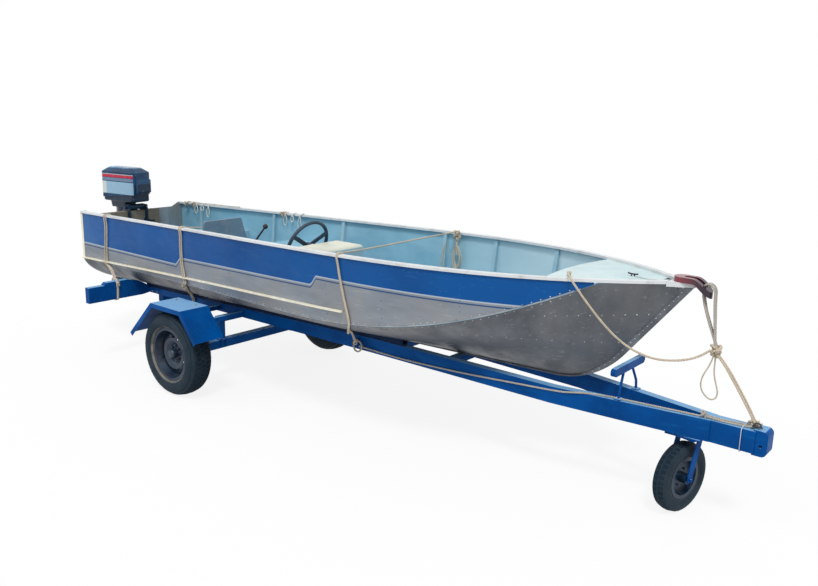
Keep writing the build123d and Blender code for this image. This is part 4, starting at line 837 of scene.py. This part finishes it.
def lashings():
    """Ropes that hold the hull down on the trailer, from the starboard gunwale."""
    r = ROPE
    for k, shift in enumerate((0.0, 0.028)):
        x, out = -2.112 + shift, -0.590 - shift / 4
        route = down_side(x, r, (
            (-0.004, 1.03), (-0.02, 0.94), (-0.034, 0.86), (-0.044, 0.79), (-0.047, 0.745), (-0.047, 0.728),
            (-0.045, 0.712)))
        route += [
            (x + 0.03, -0.515, 0.690), (x + 0.11, -0.545, 0.665), (-1.93 + shift, -0.575, 0.640),
            (-1.905 + shift / 2, -0.582, 0.638), (-1.862, out + 0.004, 0.634), (-1.853, out + 0.002, 0.60),
            (-1.853, out, 0.53), (-1.856, out, 0.482), (-1.885, out, 0.479), (-1.90, out + 0.002, 0.479),
        ]
        rope(f"stern_lashing_{k}", route)
    knot("stern_lashing_knot", (-1.847, -0.592, 0.612), 0.018, 0.005, tilt=0.4)
    for k, shift in enumerate((0.0, 0.02)):
        x = -1.045 - shift
        route = down_side(x, r, (
            (-0.004, 1.09), (-0.018, 1.012), (-0.028, 0.93), (-0.032, 0.86), (-0.024, 0.80), (-0.014, 0.765),
            (-0.01, 0.745)))
        route += [(x - 0.012, -0.536, 0.722), (x - 0.03, -0.505, 0.690)]
        route += [below_hull(x - dx, y, r + 0.004) for dx, y in ((0.07, -0.47), (0.12, -0.42), (0.18, -0.36))]
        route += [(x - 0.23, -0.305, 0.545), (x - 0.235, -0.298, 0.525)]
        rope(f"middle_lashing_{k}", route + [(x - 0.24, -0.297, 0.495), (x - 0.24, -0.29, 0.482)])
    knot("middle_lashing_knot", on_side(-1.10, 0.700, 0.012), 0.020, 0.0045, tilt=1.0)
    x, r = 0.548, 0.0075
    route = down_side(x, r, (
        (0.002, 1.12), (0.008, 1.054), (0.022, 0.98), (0.036, 0.906), (0.050, 0.85), (0.060, 0.80),
        (0.066, 0.765)))
    route += [(x + 0.060, -0.582, 0.728), (x + 0.03, -0.55, 0.690)]
    route += [below_hull(x + dx, y, r + 0.003) for dx, y in ((-0.02, -0.49), (-0.08, -0.42), (-0.14, -0.34))]
    rope("fore_lashing", route + [(0.372, -0.262, 0.535)], r, step=0.007)


def tie_ring():
    """Welded ring on the starboard rail, with the rope's turns on it."""
    centre = Vector((0.364, -0.262, 0.524))
    across = Vector((1, 0, 0))
    line = circle(centre, across, UP, 0.024, 40)
    form = [], []
    add_tube(form, line + line[:1], 0.0045)
    rail = surface("frame_rail_starboard", (centre.x, -2, centre.z), (0, 1, 0))[0].y
    for z in (centre.z + 0.024, centre.z - 0.024):
        add_tube(form, [(centre.x, rail + 0.002, z), (centre.x, centre.y, z)], 0.006)
    piece("tie_ring", form, "trailer")
    knot("tie_ring_knot", (0.372, -0.266, 0.540), 0.020, ROPE, tilt=0.6)
    turn = circle(Vector((0.395, -0.268, 0.512)), across, Vector((0, 0.15, 1)), 0.034, 48)
    rope_piece("tie_ring_loop", turn + turn[:1], 0.006, "old_rope")


def rail_rope():
    """Rope from the tie ring along the starboard rail to the nose."""
    r, rail = ROPE, "frame_rail_starboard"
    route = [(0.40, -0.262, 0.512)]
    for x, z in ((0.50, 0.500), (0.75, 0.492), (1.16, 0.503), (1.50, 0.524), (1.81, 0.540)):
        route.append((x, beside(rail, -1, x, z)[0].y - r, z))
    for x, out, up in ((1.88, -r, -0.006), (1.93, -r * 0.8, r * 0.6), (1.98, 0.006, r)):
        edge = beside(rail, -1, x, 0.53)[0].y
        route.append((x, edge + out, above(rail, x, edge + 0.01)[0].z + up))
    for x in (2.06, 2.16, 2.28, 2.45, 2.53):
        route.append(on_top(rail, x, -(0.147 - (x - 2.02) * 0.166) + 0.022, r))
    rope("rail_rope", route, r, "old_rope", 0.007)
    knot("rail_rope_knot", moved(route[-1], 0.01, 0.004, 0.010), 0.020, r, "old_rope", tilt=1.2)
    for k, y in enumerate((0.012, -0.014)):
        places = ((2.62, -0.026 + y * 0.8), (2.70, -0.014 + y), (2.77, -0.004 + y))
        route = [(2.535, -0.036 + y / 3, 0.562)] + [on_top("tow_nose", *place, r) for place in places]
        rope(f"nose_rope_{k}", route + [(2.812, y / 2, 0.574)], r, "old_rope", 0.007)


def bow_ropes():
    """Rope round the bow handle, tied below it and made fast on the nose."""
    x, y, z = KNOT
    front, foot = 2.506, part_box("bow_cap")[1][2] + 0.0003
    for k, y in enumerate((-0.014, 0.0, 0.015)):
        loop = [(front + dx, y * spread, foot + dz) for dx, spread, dz in (
            (0.026, 0.8, -0.16), (0.017, 1, -0.070), (0.015, 1, -0.010), (-0.016, 1, 0.012),
            (-0.043, 1, -0.002), (-0.042, 1, -0.055), (-0.015, 0.8, -0.15))]
        route = [(x - 0.006, y * 0.6, z + 0.012)] + loop + [(x + 0.004, y * 0.6, z + 0.012)]
        rope(f"bow_loop_{k}", route, 0.0048, "old_rope", stands_for=() if k else ("bow_lashing",))
    knot("bow_knot", KNOT, 0.030, 0.008, tilt=0.3)
    knot("bow_knot_turns", (x + 0.004, 0, z - 0.012), 0.024, 0.0065, tilt=1.7)
    tie = Vector((NOSE_X - 0.078, 0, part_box("tow_nose")[1][2] + 0.014))
    for k, y in enumerate((-0.012, 0.013)):
        route = [(x, y * 0.4, z - 0.012), (2.60, y * 0.8, 0.842), (2.69, y, 0.715), (2.76, y, 0.610)]
        rope(f"nose_stay_{k}", route + [moved(tie, 0, y * 0.6, 0)])
    knot("nose_tie", tie, 0.022, 0.0065, tilt=0.9)
    knot("nose_tie_turns", moved(tie, -0.016, 0.004, 0.002), 0.018, 0.0055, tilt=2.2)


def inboard_ropes():
    """Ropes that lie on the port gunwale, cross the boat and lead down inside."""
    port = over_gunwale(0.545, side="port")
    route = [over_gunwale(0.548)[3], (0.547, -0.3, 1.176), (0.546, 0.1, 1.181), (0.545, 0.45, 1.182)]
    rope("cross_rope", route + [moved(port[2], 0, -0.004, 0.004)], step=0.007)
    _, y, z = port[1]
    knot("gunwale_knot", (0.545, y - 0.012, z - 0.004), 0.026, 0.007, tilt=0.5)
    knot("gunwale_knot_turns", (0.549, y - 0.014, z - 0.026), 0.024, 0.006, tilt=1.8)
    y -= 0.012
    for k, (x, dx, drop) in enumerate(((0.535, 0.012, 0.10), (0.562, -0.006, 0.13))):
        route = [(x, y, 1.150), (x + dx, y - 0.006, 1.10), (x + dx * 1.6, y - 0.010, 1.06)]
        rope(f"gunwale_tail_{k}", route + [(x + dx, y - 0.008, 1.15 - drop)], 0.004)
    for k, (x0, x1) in enumerate(((-2.36, -2.02), (-2.34, -1.72))):
        route = []
        for i in range(6):
            x, y, z = over_gunwale(x0 + (x1 - x0) * i / 5, side="port")[2]
            route.append((x, y + 0.012 + 0.010 * math.sin(2.3 * i + 2 * k), z))
        rope(f"gunwale_strand_{k}", route, ROPE, "wire_rope", 0.007)
    for k, (x, look) in enumerate(((-2.40, "old_rope"), (-2.30, "old_rope"), (-1.17, "rope"))):
        turn = over_gunwale(x, side="port")
        route = turn[:4] + [moved(turn[4], 0.004, 0, 0), moved(turn[4], 0.010, 0, -0.035)]
        rope(f"gunwale_hitch_{k}", route, ROPE, look)
        knot(f"gunwale_hitch_knot_{k}", moved(turn[1], 0.01, -0.008, 0.0), 0.020, 0.005, tilt=k + 0.2)


def port_loops():
    """Loose loops of thin rope hung on the port gunwale, amidships and at the stern corner."""
    for name, x0, sizes in (
        ("side_loop", -1.14, ((0.055, 0.10), (0.04, 0.07), (0.05, 0.13))),
        ("stern_loop", -2.26, ((0.06, 0.09), (0.07, 0.06), (0.05, 0.11))),
    ):
        for k, (wide, drop) in enumerate(sizes):
            x, r = x0 + 0.085 * k, 0.004
            _, inside, top, outside, _ = over_gunwale(x, r, "port")
            y, z = inside[1] - 0.004 - 0.004 * k, top[2]
            route = [
                outside, top, (x, y, z - 0.012), (x + wide * 0.5, y - 0.004, z - drop * 0.5),
                (x + wide * 0.35, y - 0.006, z - drop), (x - wide * 0.2, y - 0.007, z - drop * 0.95),
                (x - wide * 0.3, y - 0.006, z - drop * 0.45), (x + 0.006, y, z - 0.010), (x + 0.010, top[1], z),
            ]
            rope(f"{name}_{k}", route, r, "wire_rope")


def seat_rope():
    """Rope from the starboard gunwale to the seat back's edge."""
    (x, y, _), (_, _, z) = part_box("helm_seat_back")
    route = [over_gunwale(-1.055)[3], (-1.05, -0.50, 1.135), (-1.045, -0.44, 1.130)]
    route += [(x - 0.006, y + 0.05, z - 0.05), (x - 0.007, y + 0.09, z - 0.10)]
    rope("seat_rope", route, 0.005, step=0.007)


# ---- wheels
TREAD_ROWS = ((-0.084, -0.058), (-0.052, -0.020), (-0.014, 0.014), (0.020, 0.052), (0.058, 0.084))
HUB_PROFILE = ((0, 0.034), (0.012, 0.033), (0.020, 0.028), (0.024, 0.016), (0.025, 0.004))
NUT_PROFILE = ((0, 0.011), (0.004, 0.011), (0.005, 0.0085), (0.014, 0.0085), (0.016, 0.006))
CASTOR_NUT = ((0, 0.008), (0.003, 0.008), (0.004, 0.006), (0.010, 0.006))


def tread(name, node, centre, axis, rows, count, length, body, proud=0.0025):
    """Lugs round a tyre, in rows between two distances along its axis; odd rows are shifted."""
    verts, faces = [], []
    fore = axis.cross(UP).normalized()
    up = fore.cross(axis).normalized()
    for k, row in enumerate(rows):
        radii = [(surface(node, centre + axis * y + UP, DOWN)[0] - centre - axis * y).length for y in row]
        for i in range(count):
            middle = 2 * math.pi * (i + 0.5 * (k % 2)) / count
            a, half = len(verts), length / 2 / radii[0]
            for y, radius in zip(row, radii):
                for angle in (middle - half, middle + half):
                    skew = angle + 0.5 * (y - row[0])
                    ray = math.cos(skew) * fore + math.sin(skew) * up
                    verts += [centre + axis * y + r * ray for r in (radius - 0.004, radius + proud)]
            faces += [
                (a + 1, a + 3, a + 7, a + 5), (a, a + 1, a + 5, a + 4), (a + 2, a + 6, a + 7, a + 3),
                (a, a + 2, a + 3, a + 1), (a + 4, a + 5, a + 7, a + 6),
            ]
    piece(name, (verts, faces), "lug", body=body, smooth=False)


def on_wheel(radius, angle):
    return AXLE_X + radius * math.cos(angle), WHEEL_Z + radius * math.sin(angle)


def road_wheels():
    """Tread, hub cap and nuts, slots of the rim as patches of painted shade, and valve."""
    for side, s in SIDES.items():
        body, rim, axis = f"wheel_{side}", f"rim_{side}", Vector((0, s, 0))
        centre = Vector((AXLE_X, WHEEL_Y * s, WHEEL_Z))
        tread(f"tread_{side}", f"tyre_{side}", centre, Vector((0, 1, 0)), TREAD_ROWS, 54, 0.025, body)
        form = [], []
        lathe(form, beside(rim, s, AXLE_X, WHEEL_Z)[0] - 0.002 * axis, axis, HUB_PROFILE)
        for i in range(5):
            spot = beside(rim, s, *on_wheel(0.052, 2 * math.pi * i / 5 + 0.3))[0]
            lathe(form, spot - 0.001 * axis, axis, NUT_PROFILE, 6)
        piece(f"hub_cap_{side}", form, "hub", body=body, smooth=False)
        # Painted shade: the rim's slots are flat dark patches laid on its face, not openings.
        verts, faces = [], []
        for i in range(12):
            turns = [2 * math.pi * i / 12 + turn for turn in (-0.10, -0.05, 0.05, 0.10)]
            row = [beside(rim, s, *on_wheel(radius, turn)) for radius in (0.112, 0.124) for turn in turns]
            if all(row):
                first = len(verts)
                verts += [point + 0.0012 * normal for point, normal in row]
                faces += [(first + j, first + j + 1, first + j + 5, first + j + 4) for j in range(3)]
        piece(f"rim_slots_{side}", (verts, faces), "hole", body=body, smooth=False)
        form = [], []
        foot = beside(rim, s, *on_wheel(0.150, math.radians(200)))[0]
        stem = [moved(foot, dx, s * dy, 0) for dx, dy in ((0, -0.002), (0.004, 0.016), (0.010, 0.030))]
        add_tube(form, stem, 0.0035, 8, 0.8)
        piece(f"valve_{side}", form, "black", body=body)


def castor_details():
    """Tread of the castor wheel and the nuts on both faces of its rim."""
    centre, body = middle_of("castor_tyre"), "castor_wheel"
    rows = ((-0.030, -0.006), (0.006, 0.030))
    tread("castor_tread", "castor_tyre", centre, CASTOR_AXIS, rows, 40, 0.020, body, 0.002)
    form = [], []
    for axis in (CASTOR_AXIS, -CASTOR_AXIS):
        for i in range(4):
            a = 2 * math.pi * i / 4 + 0.5
            spot = centre + 0.045 * (math.cos(a) * CASTOR_AXIS.cross(UP).normalized() + math.sin(a) * UP)
            found = surface("castor_rim", spot + axis, -axis)
            lathe(form, found[0] - axis * 0.001, axis, CASTOR_NUT, 6)
    piece("castor_bolts", form, "hub", body=body, smooth=False)


# ---- fittings
def bolts():
    """Bolt heads on the rails, the mudguards and the transom."""
    form = [], []

    def head(found, radius):
        if found:
            point, normal = found
            profile = ((0, 1.4), (0.002, 1.4), (0.0021, 1), (0.008, 1), (0.0095, 0.7))
            lathe(form, point - 0.001 * normal, normal, [(up, radius * r) for up, r in profile], 6)

    for side, s in SIDES.items():
        guard = f"mudguard_{side}"
        for x in (-0.93, -0.87):
            head(beside(f"frame_rail_{side}", s, AXLE_X + x, 0.515), 0.005)
        head(surface(guard, (AXLE_X + 0.34, s * 0.62, 0.35), UP), 0.008)
        for x in (-0.10, 0.12):
            head(above(guard, AXLE_X + x, s * 0.66), 0.007)
        for z in (0.99, 1.03):
            for y in (0.16, 0.30):
                head(surface("transom", (-3, s * y, z), (1, 0, 0)), 0.007)
    piece("trailer_bolts", form, "bolt", smooth=False)


def bearers():
    """Thin bearer on each rail, between its top and the hull's bottom."""
    for side, s in SIDES.items():
        verts, faces = [], []
        for i in range(60):
            x = -1.90 + 0.047 * i
            outer = 0.310 - (x + 1.916) * 0.0325 if x < 0.514 else 0.231 - (x - 0.514) * 0.0328
            across = (s * (outer - 0.004), s * (outer - 0.046))
            tops = [above(f"frame_rail_{side}", x, y) for y in across]
            unders = [under(f"hull_bottom_{side}", x, y) for y in across]
            if all(tops + unders) and 0.0015 <= min(u[0].z - t[0].z for u, t in zip(unders, tops)) <= 0.03:
                verts += [moved(t[0], 0, 0, -0.0005) for t in tops] + [moved(u[0], 0, 0, -0.0008) for u in unders]
        for a in range(0, len(verts) - 4, 4):
            b = a + 4
            if verts[b].x - verts[a].x < 0.06:
                faces += [
                    (a, a + 2, b + 2, b), (a + 1, b + 1, b + 3, a + 3), (a + 2, a + 3, b + 3, b + 2),
                    (a, b, b + 1, a + 1),
                ]
        piece(f"bearer_{side}", (verts, faces), "bearer", smooth=False)


def small_fittings():
    """Wire and shackle on the nose, cleat and wire on the bow deck."""
    form = [], []
    ring = [Vector((2.735, y, z)) for y, z in (
        (-0.053, 0.43), (-0.056, 0.50), (-0.055, 0.550), (-0.03, 0.556), (0.03, 0.556), (0.055, 0.550),
        (0.056, 0.50), (0.053, 0.43), (0.03, 0.425), (-0.03, 0.425), (-0.053, 0.43))]
    add_tube(form, resample(ring, 0.008), 0.0022, 6)
    piece("nose_wire", form, "wire")
    form = [], []
    centre = Vector((2.800, -0.030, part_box("tow_nose")[1][2] + 0.016))
    add_tube(form, circle(centre, Vector((1, 0, 0)), UP, 0.016, 28)[:15], 0.004)
    add_tube(form, [moved(centre, x, 0, -0.004) for x in (-0.024, 0.024)], 0.0045)
    piece("nose_shackle", form, "dark_steel")
    form = [], []
    deck = above("bow_deck", 2.085, 0.009)[0]
    for x in (-0.009, 0.009):
        add_tube(form, [moved(deck, x, 0, -0.001), moved(deck, x * 0.8, 0, 0.010)], 0.004, 10, 0.8)
    horns = ((-0.028, 0.014), (-0.012, 0.011), (0.012, 0.011), (0.028, 0.014))
    add_tube(form, [moved(deck, x, 0, z) for x, z in horns], 0.004, 10)
    piece("bow_cleat", form, "black")
    form = [], []
    wire = ((0.03, -0.02, 0.004), (0.10, -0.04, 0.006), (0.19, -0.03, 0.012), (0.27, 0.0, 0.022))
    add_tube(form, curve_points([moved(deck, *v) for v in wire], 0.01), 0.0025, 6)
    piece("bow_wire", form, "wire")


for build in (
    rivet_rows, stem_flanges, lashings, tie_ring, rail_rope, bow_ropes, inboard_ropes, port_loops, seat_rope,
    road_wheels, castor_details, bolts, bearers, small_fittings, transom_corners,
):
    build()


# ---- light, floor
def make_world():
    """Soft studio light, seen as white."""
    world = bpy.data.worlds.new("studio")
    scene.world = world
    tree = Tree(world)
    lit = tree.t.nodes["Background"]
    lit.inputs["Color"].default_value = (0.92, 0.96, 1.0, 1)
    lit.inputs["Strength"].default_value = 0.62
    tree.blend("World Output", tree.seen(), lit, tree.n("Background", (1, 1, 1, 1)))


def make_floor():
    """Pale floor that keeps a soft shadow and fades into the white background."""
    me = bpy.data.meshes.new("floor_stage")
    s = 40
    me.from_pydata([(-s, -s, 0), (s, -s, 0), (s, s, 0), (-s, s, 0)], [], [(0, 1, 2, 3)])
    floor = bpy.data.objects.new("floor_stage", me)
    scene.collection.objects.link(floor)
    m = Mat("floor_stage", 0.95, 0.0, 0.0)
    m.b.inputs["Base Color"].default_value = (0.62, 0.62, 0.62, 1)
    m.blend("Material Output", m.times(m.seen(), 0.8), m.b, m.n("Emission", (1, 1, 1, 1), 1.08))
    me.materials.append(m.m)


make_world()
make_floor()
for name, energy, angle, turn in (("key", 1.5, 12, (34, 6, 30)), ("fill", 0.5, 40, (48, 0, -40))):
    sun = bpy.data.lights.new(name, "SUN")
    sun.energy, sun.angle = energy, math.radians(angle)
    lamp = bpy.data.objects.new(name, sun)
    lamp.rotation_euler = [math.radians(v) for v in turn]
    scene.collection.objects.link(lamp)
